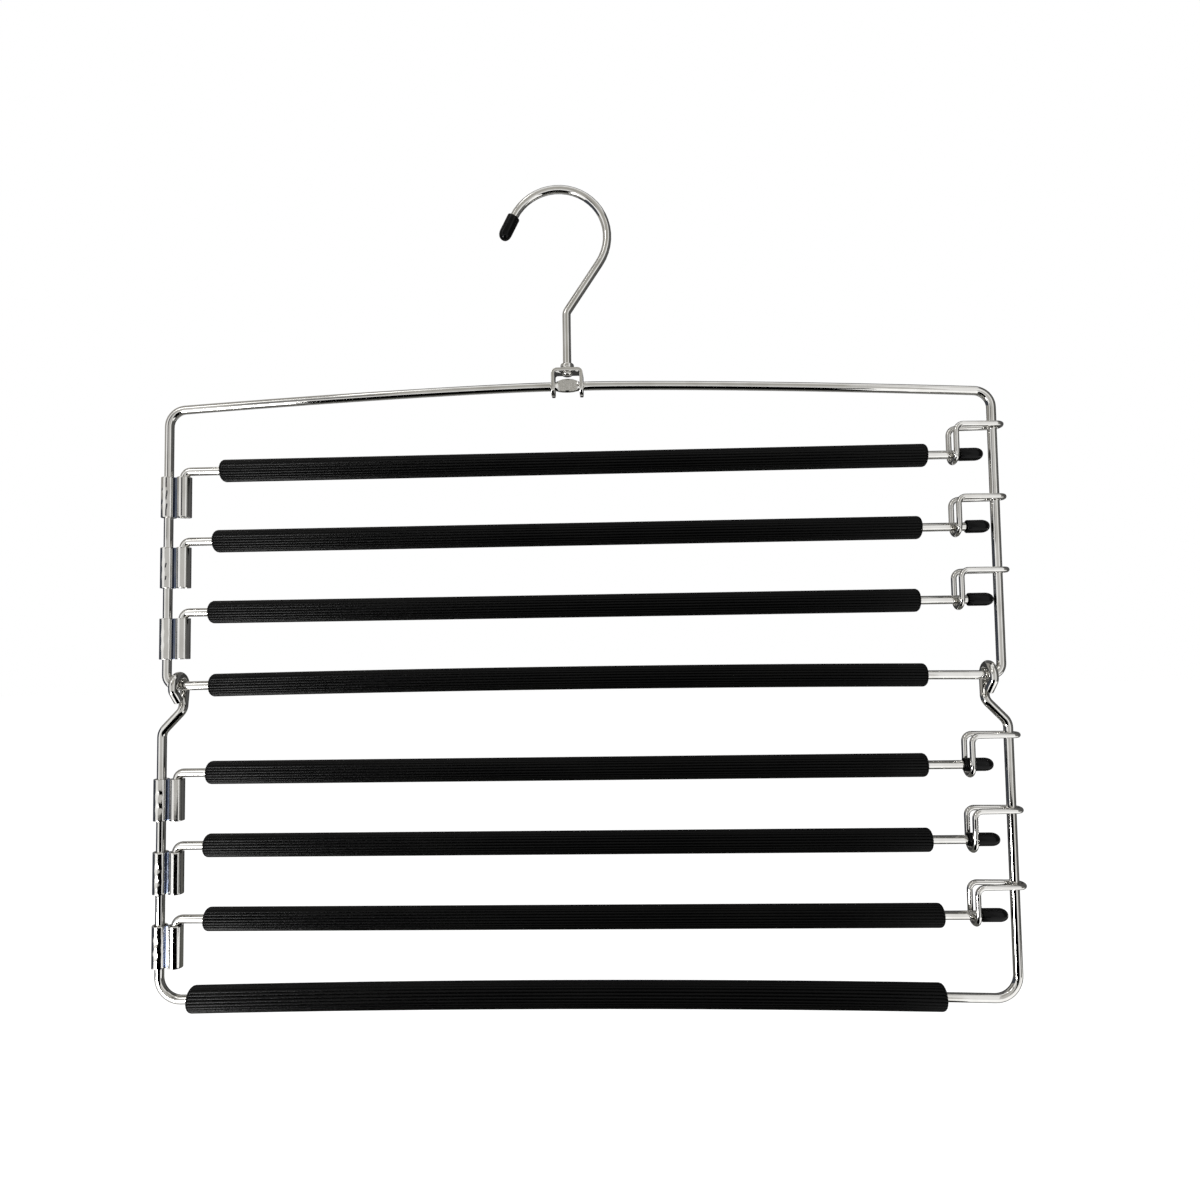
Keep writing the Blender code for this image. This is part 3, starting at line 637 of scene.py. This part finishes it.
def vinyl_finish():
    """Glossy dipped vinyl with a soft orange peel and rubbed spots."""
    finish = bpy.data.materials.get("vinyl_dipped")
    if finish:
        return finish
    colours = settings().finish
    finish, tree, shader, coordinates = new_finish("vinyl_dipped", metallic=0, specular=0.14)
    clouds = add_noise(tree, coordinates, scale=420, detail=5)
    rubs = add_range(tree, clouds, low=0, high=1, start=0.5, stop=0.75)
    tree.links.new(add_mix(tree, rubs, colours.vinyl, colours.vinyl_scuff), shader.inputs["Base Color"])
    gloss = add_range(tree, rubs, low=0.14, high=0.28, start=0, stop=1)
    tree.links.new(gloss, shader.inputs["Roughness"])
    peel = add_noise(tree, coordinates, scale=500, detail=2)
    add_bump(tree, shader, peel, strength=0.12, distance=0.0002)
    return finish


def side_x(lower, right):
    """Where a frame's side wire stands."""
    pintle = AXIS_AT["arm_4_swing" if lower else "arm_1_swing"].x
    left = pintle - settings().arms.pintle_offset
    return 2 * AXIS_AT["frame_fold"].x - left if right else left


def hook_tip():
    """Where the hook's arc ends, and the way that it points there."""
    sizes = settings().hook
    outward = Vector((math.cos(sizes.tip_angle), 0, math.sin(sizes.tip_angle)))
    along = Vector((-outward.z, 0, outward.x))
    return outward * (sizes.inner_radius + sizes.wire / 2) - Z_AXIS * sizes.inner_radius, along


class HANGER_OT_hook(bpy.types.Operator):
    """Bend the hook, and swage its collar and riveted end"""

    bl_idname = "trouser_hanger.hook"
    bl_label = "Bend Hook"

    def execute(self, context):
        sizes = settings().hook
        detail = settings().detail
        caps = settings().caps
        radius = sizes.inner_radius + sizes.wire / 2
        centre = Vector((0, 0, -sizes.inner_radius))
        tip, along = hook_tip()
        start = tip + along * (caps.hook_cap - caps.end_wall - caps.play)
        sweep = sizes.tip_angle + sizes.lean
        arc_end = centre + radius * Vector((math.cos(sizes.lean), 0, -math.sin(sizes.lean)))
        pivot = AXIS_AT["hook_swivel"]
        collar_top = pivot + Z_AXIS * (sizes.clearance + sizes.collar_height)
        fall = (arc_end.x - pivot.x) / math.tan(sizes.lean)
        stem_top = Vector((pivot.x, 0, arc_end.z - fall))
        runs = [(tip, centre, Y_AXIS, sweep)]
        runs += corner_runs([(arc_end, 0), (stem_top, sizes.bend), (collar_top, 0)])

        obj = new_ring("hook_bent_wire", start, -along, sizes.wire / 2, detail.wire_sides, "NGON")
        draw_runs(start, runs)
        head_top = sizes.collar_height + 2 * sizes.clearance + settings().strap.sheet
        head_end = head_top + sizes.head_height
        collar, head = sizes.collar / 2, sizes.head / 2
        steps = detail.rim_steps
        stations = [
            *rim(0, collar, sizes.collar_rim, sizes.collar_rim, False, steps),
            *rim(sizes.collar_height, collar, sizes.collar_rim, sizes.collar_rim, True, steps),
            (sizes.collar_height, sizes.neck / 2),
            (head_top, sizes.neck / 2),
            (head_top, head),
            *rim(head_end, head, sizes.head_height * DOME_HEIGHT, head * DOME_WIDTH, True, steps),
        ]
        draw_profile(collar_top, -Z_AXIS, sizes.wire / 2, stations)
        close_wire(detail.wire_sides, False)
        place_piece(obj, "hook", chrome_finish("chrome_wire"))
        return {"FINISHED"}


class HANGER_OT_strap(bpy.types.Operator):
    """Bend the strap that hangs on the hook and holds the rail"""

    bl_idname = "trouser_hanger.strap"
    bl_label = "Bend Strap"

    def execute(self, context):
        sizes = settings().strap
        low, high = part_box("swivel_bracket")
        middle = (low + high) / 2
        half = (high.x - low.x) / 2 - sizes.sheet / 2
        web = high.z - sizes.sheet / 2
        bend = sizes.bend + sizes.sheet / 2
        flat = half - bend
        bpy.ops.object.select_all(action="DESELECT")
        bpy.ops.mesh.primitive_plane_add(size=1, location=(middle.x, 0, web))
        obj = begin_piece("bracket_strap", (2 * flat, high.y - low.y, 1))
        for side in (-1, 1):
            edge = middle.x + side * flat
            select_points(obj, lambda index, place: abs(place.x - edge) < WELD)
            spin_round(Vector((edge, 0, web - bend)), side * Y_AXIS, math.pi / 2)
            draw_out(-Z_AXIS * (web - bend - low.z))
        select_points(obj, lambda index, place: place.z < low.z + WELD)
        bpy.ops.mesh.bevel(offset=sizes.toe_radius, segments=sizes.toe_steps, affect="VERTICES")
        thicken(obj, sizes.sheet)
        rail = AXIS_AT["frame_tilt"]
        bore_hole(obj, rail, X_AXIS, sizes.rail_hole, 2 * (high.x - low.x))
        bore_hole(obj, Vector((rail.x, 0, web)), Z_AXIS, sizes.rivet_hole, 4 * sizes.sheet)
        round_edges(obj, sizes.edge)
        place_piece(obj, "swivel_bracket", chrome_finish("chrome_sheet"))
        return {"FINISHED"}


class HANGER_OT_upper_frame(bpy.types.Operator):
    """Bend the closed upper frame, and press its boss between the strap's legs"""

    bl_idname = "trouser_hanger.upper_frame"
    bl_label = "Bend Upper Frame"

    def execute(self, context):
        sizes = settings().frames
        rail, fold = AXIS_AT["frame_tilt"], AXIS_AT["frame_fold"]
        left, right = side_x(False, False), side_x(False, True)
        shoulder = rail.z - sizes.rail_rise
        steps = sizes.boss_steps
        presses = [step / steps for step in range(-steps, steps + 1)]
        bar = crowned_bar(fold.x, (right - left) / 2, fold.z, sizes.fold_crown)
        corners = [
            ((left, 0, fold.z), sizes.fold_bend),
            ((left, 0, shoulder), sizes.top_bend),
            *reversed(self.rail_leg(rail.x - sizes.rail_level, left)),
            *((rail + X_AXIS * sizes.boss_half * press, 0) for press in presses),
            *self.rail_leg(rail.x + sizes.rail_level, right),
            ((right, 0, shoulder), sizes.top_bend),
            ((right, 0, fold.z), sizes.fold_bend),
            *reversed(bar),
        ]
        obj = wire_loop("upper_frame_loop", corners, sizes.wire)
        thin, tall = sizes.boss_thickness / sizes.wire - 1, sizes.boss_height / sizes.wire - 1
        for press in presses[1:-1]:
            place = rail + X_AXIS * sizes.boss_half * press
            flat, arch = math.sqrt(1 - press**BOSS_FLAT_POWER), 1 - abs(press) ** BOSS_ARCH_POWER
            select_points(
                obj,
                lambda index, point: (point - place).length < sizes.wire and abs(point.x - place.x) < WELD,
            )
            scale_ring((1, 1 + thin * flat, 1 + tall * arch), place - Z_AXIS * sizes.boss_lift)
        face = sizes.boss_thickness / 2
        reach = sizes.boss_half * presses[-2]
        for side in (-1, 1):
            select_points(
                obj,
                lambda index, point: abs(point.x - rail.x) < reach
                and abs(point.z - rail.z) < sizes.boss_height
                and side * point.y > face / 2,
            )
            scale_ring((1, 0, 1), rail + Y_AXIS * side * face)
        place_piece(obj, "upper_frame", chrome_finish("chrome_wire"))
        add_finish(
            obj,
            chrome_finish("chrome_pressed"),
            lambda index, point: abs(point.x - rail.x) < reach
            and point.z > shoulder
            and abs(point.y) > face / 2,
        )
        return {"FINISHED"}

    def rail_leg(self, start, corner):
        """Corners along the rail from its level stretch out to a bend, which it falls to ever faster."""
        sizes, steps = settings().frames, settings().detail.crown_steps
        height = AXIS_AT["frame_tilt"].z
        corners = [((start, 0, height), sizes.rail_bend)]
        for step in range(1, steps):
            way = step / steps
            fall = sizes.rail_rise * way**sizes.rail_curve
            corners.append(((start + (corner - start) * way, 0, height - fall), sizes.crown_bend))
        return corners


class HANGER_OT_lower_frame(bpy.types.Operator):
    """Bend the open lower frame, whose ends wind into eyes round the fold bar"""

    bl_idname = "trouser_hanger.lower_frame"
    bl_label = "Bend Lower Frame"

    def execute(self, context):
        sizes = settings().frames
        fold = AXIS_AT["frame_fold"]
        half = fold.x - side_x(True, False)
        eye = side_x(False, False) + sizes.eye_inset - fold.x
        width = sizes.eye_half
        kink = Vector((eye + sizes.kink_shift, 0, -sizes.kink_drop))
        front = Vector((eye, -width, -sizes.eye_drop))
        tail = kink + (front - kink) * (sizes.wire + sizes.tail_gap) / (2 * width)
        turn_in = width * settings().arms.round_end
        left = [
            (tail, 0),
            (front, sizes.eye_bend),
            (Vector((eye, -width, sizes.eye_top)), turn_in),
            (Vector((eye, width, sizes.eye_top)), turn_in),
            (Vector((eye, width, -sizes.eye_drop)), sizes.eye_bend),
            (kink, sizes.kink_bend),
            (Vector((-half, 0, -sizes.shoulder_drop)), sizes.shoulder_bend),
            (Vector((-half, 0, -sizes.lower_height)), sizes.bottom_bend),
        ]
        right = [(Vector((-place.x, place.y, place.z)), bend) for place, bend in reversed(left)]
        bar = crowned_bar(0, half, -sizes.lower_height, sizes.bottom_crown)
        corners = [(fold + place, bend) for place, bend in left + bar + right]
        obj = open_wire("lower_frame_bend", corners, sizes.wire)
        place_piece(obj, "lower_frame", chrome_finish("chrome_wire"))
        return {"FINISHED"}


class HANGER_OT_arms(bpy.types.Operator):
    """Bend the six swing arms, each with its pintle"""

    bl_idname = "trouser_hanger.arms"
    bl_label = "Bend Arms"

    def execute(self, context):
        sizes = settings().arms
        for arm in ARMS:
            node = f"arm_{arm}_wire"
            low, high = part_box(node)
            pintle = AXIS_AT[f"arm_{arm}_swing"]
            height = high.z - sizes.wire / 2
            corners = [
                ((pintle.x, 0, low.z), 0),
                ((pintle.x, 0, height), sizes.bend),
                ((high.x, 0, height), 0),
            ]
            obj = open_wire(f"arm_{arm}_bent_wire", corners, sizes.wire)
            place_piece(obj, node, chrome_finish("chrome_wire"))
        return {"FINISHED"}


class HANGER_OT_clips(bpy.types.Operator):
    """Wrap a sheet clip round each side wire and pintle, and stake it"""

    bl_idname = "trouser_hanger.clips"
    bl_label = "Wrap Clips"

    def execute(self, context):
        first = self.wrap()
        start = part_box("arm_1_clip")[0]
        clips = [first]
        for arm in ARMS[1:]:
            take_up(first)
            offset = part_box(f"arm_{arm}_clip")[0] - start
            bpy.ops.object.duplicate_move(TRANSFORM_OT_translate={"value": offset})
            bpy.ops.object.transform_apply(location=True, rotation=False, scale=False)
            obj = context.object
            obj.name = f"arm_{arm}_wrapped_clip"
            obj.data.name = obj.name
            clips.append(obj)
        for arm, obj in zip(ARMS, clips):
            hand_over(obj, f"arm_{arm}_clip")
        return {"FINISHED"}

    def wrap(self):
        """Wraps and stakes the first arm's clip, which the others are copies of."""
        sizes = settings().arms
        low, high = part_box("arm_1_clip")
        height = high.z - low.z
        sheet, crease = sizes.clip_sheet, sizes.clip_crease
        pintle = AXIS_AT["arm_1_swing"].x
        side = pintle - sizes.pintle_offset
        waist = (sizes.clip_waist - sheet) / 2
        tubes = []
        for centre, wire, hand in ((pintle, sizes.wire, 1), (side, settings().frames.wire, -1)):
            radius = wire / 2 + sizes.clip_play + sheet / 2
            reach = math.sqrt((radius + crease) ** 2 - (waist + crease) ** 2)
            tubes.append((centre, centre - hand * reach, math.asin(reach / (radius + crease)), hand))
        seam = (tubes[0][1] + tubes[1][1]) / 2
        flat = tubes[0][1] - seam - sizes.clip_slit / 2

        bpy.ops.object.select_all(action="DESELECT")
        bpy.ops.mesh.primitive_grid_add(
            x_subdivisions=1,
            y_subdivisions=sizes.clip_rows,
            size=1,
            location=(tubes[0][1] - flat / 2, waist, (low.z + high.z) / 2),
            rotation=(math.pi / 2, 0, 0),
        )
        obj = begin_piece("arm_1_wrapped_clip", (flat, height, 1))
        select_points(obj, lambda index, place: abs(place.x - tubes[0][1]) < WELD)
        for centre, start, lead, hand in tubes:
            spin_round(Vector((start, hand * (waist + crease), 0)), Z_AXIS, lead)
            spin_round(Vector((centre, 0, 0)), -Z_AXIS, math.pi + 2 * lead)
            spin_round(Vector((start, -hand * (waist + crease), 0)), Z_AXIS, lead)
            run = tubes[0][1] - tubes[1][1] if hand > 0 else flat
            draw_out(X_AXIS * -hand * run)
        thicken(obj, sheet)
        round_edges(obj, sizes.clip_edge)
        bpy.ops.object.mode_set(mode="EDIT")
        for down in (sizes.stake_high, sizes.stake_low):
            mark = Vector((side, -high.y, high.z - height * down))
            nearest = min(obj.data.vertices, key=lambda point: (point.co - mark).length).index
            select_points(obj, lambda index, place: index == nearest)
            bpy.ops.transform.translate(
                value=(0, sizes.stake_depth, 0),
                use_proportional_edit=True,
                proportional_size=sizes.stake_size,
                proportional_edit_falloff="SMOOTH",
            )
        smooth_piece(obj, chrome_finish("chrome_sheet"))
        # Tints the faces near the seam dark navy: a painted reflection of a dark object beside the clip.
        patch_tone = chrome_finish("chrome_crease_painted_reflection")
        add_finish(obj, patch_tone, lambda index, place: abs(place.x - seam) < sizes.painted_reflection_reach)
        return obj


class HANGER_OT_catches(bpy.types.Operator):
    """Bend a wire catch round each right side wire, with a cradle for the arm's tip"""

    bl_idname = "trouser_hanger.catches"
    bl_label = "Bend Catches"

    def execute(self, context):
        sizes = settings().arms
        radius = sizes.catch_wire / 2
        for arm in ARMS:
            node = f"arm_{arm}_catch"
            low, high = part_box(node)
            loop = high.x - radius
            half = loop - side_x(BODY_OF[node] == "lower_frame", True)
            cradle = high.y - radius
            front = [
                (Vector((loop, -half, high.z - radius)), half * sizes.round_end),
                (Vector((low.x + radius, -cradle, high.z - radius)), sizes.catch_bend),
                (Vector((low.x + radius, -cradle, low.z + radius)), cradle * sizes.round_end),
            ]
            back = [(Vector((place.x, -place.y, place.z)), bend) for place, bend in reversed(front)]
            obj = wire_loop(f"arm_{arm}_wire_catch", front + back, sizes.catch_wire)
            place_piece(obj, node, chrome_finish("chrome_wire"))
        return {"FINISHED"}


class HANGER_OT_sleeves(bpy.types.Operator):
    """Draw a ribbed foam sleeve on each arm and on the two frame bars"""

    bl_idname = "trouser_hanger.sleeves"
    bl_label = "Draw Sleeves"

    def execute(self, context):
        frames = settings().frames
        fold = AXIS_AT["frame_fold"]
        for arm in ARMS:
            low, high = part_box(f"arm_{arm}_sleeve")
            height = (low.z + high.z) / 2
            self.sleeve(f"arm_{arm}_foam", f"arm_{arm}_sleeve", settings().arms.wire, height, 1, 0)
        bars = (
            ("fold_bar", False, fold.z, frames.fold_crown),
            ("bottom_bar", True, fold.z - frames.lower_height, frames.bottom_crown),
        )
        for bar, lower, height, crown in bars:
            half = fold.x - side_x(lower, False)
            self.sleeve(f"{bar}_foam", f"{bar}_sleeve", frames.wire, height, half, crown)
        return {"FINISHED"}

    def sleeve(self, name, node, wire, axis, half, crown):
        """Draws one sleeve along a wire at a height, which rises by a crown over its half width."""
        sizes, detail = settings().foam, settings().detail
        low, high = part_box(node)
        radius = (high.y - low.y) / 2
        bore = wire / 2 + sizes.play
        span = high.x - low.x
        middle = AXIS_AT["frame_fold"].x

        def centre(distance):
            across = (low.x + distance - middle) / half
            return Vector((low.x + distance, 0, axis + crown * (1 - across**2)))

        steps = detail.crown_steps
        stations = [
            *rim(0, radius, sizes.edge, sizes.edge, False, detail.rim_steps),
            *((span * step / steps, radius) for step in range(1, steps)),
            *rim(span, radius, sizes.edge, sizes.edge, True, detail.rim_steps),
            (span, bore),
        ]
        sides = sizes.ribs * sizes.rib_points
        obj = new_ring(name, centre(0), X_AXIS, bore, sides)
        for point in range(sizes.rib_points):
            across = 2 * point / sizes.rib_points - 1
            groove = 1 - sizes.rib_depth / radius * abs(across) ** RIB_POWER
            select_points(obj, lambda index, place: index % sizes.rib_points == point)
            scale_ring((1, groove, groove), centre(0))
        bpy.ops.mesh.select_all(action="SELECT")
        here, ring = 0, bore
        for distance, wanted in stations:
            draw_out(centre(distance) - centre(here))
            scale_ring((1, wanted / ring, wanted / ring), centre(distance))
            here, ring = distance, wanted
        bpy.ops.mesh.select_all(action="DESELECT")
        bpy.ops.mesh.select_non_manifold()
        bpy.ops.mesh.bridge_edge_loops()
        face_outward()
        place_piece(obj, node, foam_finish())


class HANGER_OT_caps(bpy.types.Operator):
    """Dip a cap on the hook's tip and on each arm's tip"""

    bl_idname = "trouser_hanger.caps"
    bl_label = "Dip Caps"

    def execute(self, context):
        mouth, along = hook_tip()
        wire, reach = settings().hook.wire, settings().caps.hook_cap
        self.dip("hook_dipped_cap", "hook_tip_cap", mouth, along, wire, reach)
        for arm in ARMS:
            node = f"arm_{arm}_tip_cap"
            low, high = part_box(node)
            mouth = Vector((low.x, 0, (low.z + high.z) / 2))
            self.dip(f"arm_{arm}_dipped_cap", node, mouth, X_AXIS, settings().arms.wire, high.x - low.x)
        return {"FINISHED"}

    def dip(self, name, node, mouth, along, wire, reach):
        """Dips one cap over the end of a wire."""
        sizes, detail = settings().caps, settings().detail
        bore = wire / 2 + sizes.play
        radius = bore + sizes.wall
        lip = sizes.wall / 2
        inner_end = reach - sizes.end_wall
        obj = new_ring(name, mouth + along * inner_end, along, bore, detail.turned_sides, "NGON")
        turns = [math.pi * step / LIP_STEPS for step in range(LIP_STEPS + 1)]
        stations = [(lip * (1 - math.sin(angle)), bore + lip * (1 - math.cos(angle))) for angle in turns]
        stations += rim(reach, radius, sizes.nose, radius - sizes.blunt, True, 2 * detail.rim_steps)
        stations = [(distance - inner_end, size) for distance, size in stations]
        draw_profile(mouth + along * inner_end, along, bore, stations)
        close_wire(detail.turned_sides, False)
        place_piece(obj, node, vinyl_finish())


class HANGER_OT_studio(bpy.types.Operator):
    """Set up the floor, the lights, the cards that the chrome reflects and the camera"""

    bl_idname = "trouser_hanger.studio"
    bl_label = "Set Up Studio"

    def execute(self, context):
        scene = context.scene
        sizes = settings().studio
        low, high = (Vector(corner) for corner in CAD_BOX)
        middle = (low + high) / 2
        self.set_world(scene)

        bpy.ops.object.select_all(action="DESELECT")
        bpy.ops.mesh.primitive_plane_add(
            size=sizes.floor_size, location=(middle.x, 0, low.z - sizes.floor_drop)
        )
        floor = context.object
        floor.name = "floor"
        floor.data.materials.append(self.floor_finish())

        # Bearing and lift from the front, distance, width and power
        self.add_light("key_light", middle, -40, 45, 1.6, 0.9, sizes.key_power)
        self.add_light("fill_light", middle, 45, 20, 1.6, 0.9, sizes.fill_power)
        # Bearing and lift from the front, distance, width, height and colour
        cards = (
            ("card_front", 8, 25, 1.2, 2.2, 2.4, (0.58, 0.575, 0.56)),
            ("card_high_front", 0, 36, 0.62, 0.56, 0.34, (0.42, 0.41, 0.38)),
            ("card_right", 62, 0, 0.95, 0.40, 2.4, (0.16, 0.16, 0.15)),
            ("card_right_lamp", 41, 5, 0.80, 0.30, 1.4, (0.95, 0.95, 0.95)),
            ("card_dark_front", -31, 16, 0.60, 0.16, 0.16, (0.02, 0.02, 0.03)),
            ("card_dark_low_front", -2, -33, 0.55, 0.60, 0.26, (0, 0, 0)),
            ("card_dark_below", -7, -70, 0.42, 0.52, 0.66, (0, 0, 0)),
            ("card_low_lamp", -47, -32, 0.59, 0.16, 0.14, (24, 24, 24)),
            ("card_left_side", -107, -20, 1.0, 1.85, 1.4, (0.055, 0.062, 0.078)),
            ("card_left_high", -107, 40, 1.0, 1.85, 1.3, (0.36, 0.35, 0.33)),
            ("card_right_side", 107, 0, 1.0, 1.85, 3.2, (0.10, 0.10, 0.10)),
            ("card_top_side", 180, 55, 1.13, 3.2, 1.2, (0.11, 0.11, 0.11)),
            ("card_low_side", 180, -68, 0.46, 1.8, 0.68, (0.12, 0.12, 0.11)),
            ("card_back", 180, -5, 1.0, 1.3, 1.2, (0.05, 0.05, 0.05)),
        )
        for card in cards:
            self.add_card(middle, *card)

        camera = bpy.data.objects.new("camera", bpy.data.cameras.new("camera"))
        scene.collection.objects.link(camera)
        camera.location = sizes.camera_place
        camera.rotation_euler = sizes.camera_turn
        camera.data.lens = sizes.camera_lens
        camera.data.clip_start = 0.01
        scene.camera = camera
        scene.view_settings.view_transform = "Standard"
        return {"FINISHED"}

    def set_world(self, scene):
        """A white room, which lights the hanger less than it shows."""
        world = bpy.data.worlds.new("white_room")
        world.use_nodes = True
        tree = world.node_tree
        background = tree.nodes["Background"]
        background.inputs["Color"].default_value = (1, 1, 1, 1)
        room_light = settings().studio.room_light
        strength = add_range(tree, self.add_seen(tree), low=room_light, high=1, start=0, stop=1)
        tree.links.new(strength, background.inputs["Strength"])
        scene.world = world

    def add_seen(self, tree):
        """One for the rays that show the room, and nothing for those that only light the hanger."""
        path = tree.nodes.new("ShaderNodeLightPath")
        total = path.outputs[SEEN_RAYS[0]]
        for kind in SEEN_RAYS[1:]:
            either = tree.nodes.new("ShaderNodeMath")
            either.operation = "MAXIMUM"
            tree.links.new(total, either.inputs[0])
            tree.links.new(path.outputs[kind], either.inputs[1])
            total = either.outputs["Value"]
        return total

    def floor_finish(self):
        """White matt paper, which shows a little brighter than it is lit."""
        finish, tree, shader, coordinates = new_finish("floor_paper", metallic=0, specular=0)
        shader.inputs["Roughness"].default_value = 1
        fibres = add_range(tree, add_noise(tree, coordinates, scale=400, detail=3), low=0, high=1)
        paper = add_mix(tree, fibres, first=(0.96, 0.96, 0.96), second=(0.92, 0.92, 0.92))
        tree.links.new(paper, shader.inputs["Base Color"])
        shader.inputs["Emission Color"].default_value = (1, 1, 1, 1)
        floor_glow = settings().studio.floor_glow
        glow = add_range(tree, self.add_seen(tree), low=0, high=floor_glow, start=0, stop=1)
        tree.links.new(glow, shader.inputs["Emission Strength"])
        return finish

    def stand_at(self, obj, middle, azimuth, elevation, distance):
        """Stands a light or card at a bearing from the front, facing the hanger."""
        bearing, lift = math.radians(azimuth), math.radians(elevation)
        outward = Vector(
            (math.sin(bearing) * math.cos(lift), -math.cos(bearing) * math.cos(lift), math.sin(lift))
        )
        obj.location = middle + outward * distance
        obj.rotation_euler = outward.to_track_quat("Z", "Y").to_euler()

    def add_light(self, name, middle, azimuth, elevation, distance, size, power):
        """A soft square light."""
        lamp = bpy.data.lights.new(name, "AREA")
        lamp.size = size
        lamp.energy = power
        light = bpy.data.objects.new(name, lamp)
        bpy.context.scene.collection.objects.link(light)
        self.stand_at(light, middle, azimuth, elevation, distance)

    def add_card(self, middle, name, azimuth, elevation, distance, width, height, tone):
        """A plain card that only reflections see."""
        bpy.ops.object.select_all(action="DESELECT")
        bpy.ops.mesh.primitive_plane_add(size=1)
        card = bpy.context.object
        card.name = name
        self.stand_at(card, middle, azimuth, elevation, distance)
        card.scale = (width, height, 1)
        card.visible_camera = False
        card.visible_diffuse = False
        card.visible_transmission = False
        card.visible_shadow = False
        finish = bpy.data.materials.new(name)
        finish.use_nodes = True
        tree = finish.node_tree
        tree.nodes.remove(tree.nodes["Principled BSDF"])
        glow = tree.nodes.new("ShaderNodeEmission")
        glow.inputs["Color"].default_value = (*tone, 1)
        tree.links.new(glow.outputs["Emission"], tree.nodes["Material Output"].inputs["Surface"])
        card.data.materials.append(finish)


class HANGER_PT_panel(bpy.types.Panel):
    """Steps and settings of the hanger"""

    bl_label = "Folding Trouser Hanger"
    bl_idname = "HANGER_PT_panel"
    bl_space_type = "VIEW_3D"
    bl_region_type = "UI"
    bl_category = "Hanger"

    def draw(self, context):
        for step in STEPS:
            self.layout.operator(step.bl_idname)
        for group in HANGER_PG_settings.__annotations__:
            box = self.layout.box()
            box.label(text=group.capitalize())
            values = getattr(context.scene.trouser_hanger, group)
            for key in values.__annotations__:
                box.prop(values, key)


STEPS = (
    HANGER_OT_hook,
    HANGER_OT_strap,
    HANGER_OT_upper_frame,
    HANGER_OT_lower_frame,
    HANGER_OT_arms,
    HANGER_OT_clips,
    HANGER_OT_catches,
    HANGER_OT_sleeves,
    HANGER_OT_caps,
    HANGER_OT_studio,
)
CLASSES = (
    HANGER_PG_detail,
    HANGER_PG_hook,
    HANGER_PG_strap,
    HANGER_PG_frames,
    HANGER_PG_arms,
    HANGER_PG_foam,
    HANGER_PG_caps,
    HANGER_PG_finish,
    HANGER_PG_studio,
    HANGER_PG_settings,
    *STEPS,
    HANGER_PT_panel,
)


def register():
    """Adds the classes and the scene's settings."""
    for item in CLASSES:
        bpy.utils.register_class(item)
    bpy.types.Scene.trouser_hanger = PointerProperty(type=HANGER_PG_settings)


def unregister():
    """Takes them away again."""
    del bpy.types.Scene.trouser_hanger
    for item in reversed(CLASSES):
        bpy.utils.unregister_class(item)


def main():
    """Builds the hanger and its studio."""
    register()
    bpy.ops.trouser_hanger.hook()
    bpy.ops.trouser_hanger.strap()
    bpy.ops.trouser_hanger.upper_frame()
    bpy.ops.trouser_hanger.lower_frame()
    bpy.ops.trouser_hanger.arms()
    bpy.ops.trouser_hanger.clips()
    bpy.ops.trouser_hanger.catches()
    bpy.ops.trouser_hanger.sleeves()
    bpy.ops.trouser_hanger.caps()
    bpy.ops.trouser_hanger.studio()


if __name__ == "__main__":
    main()
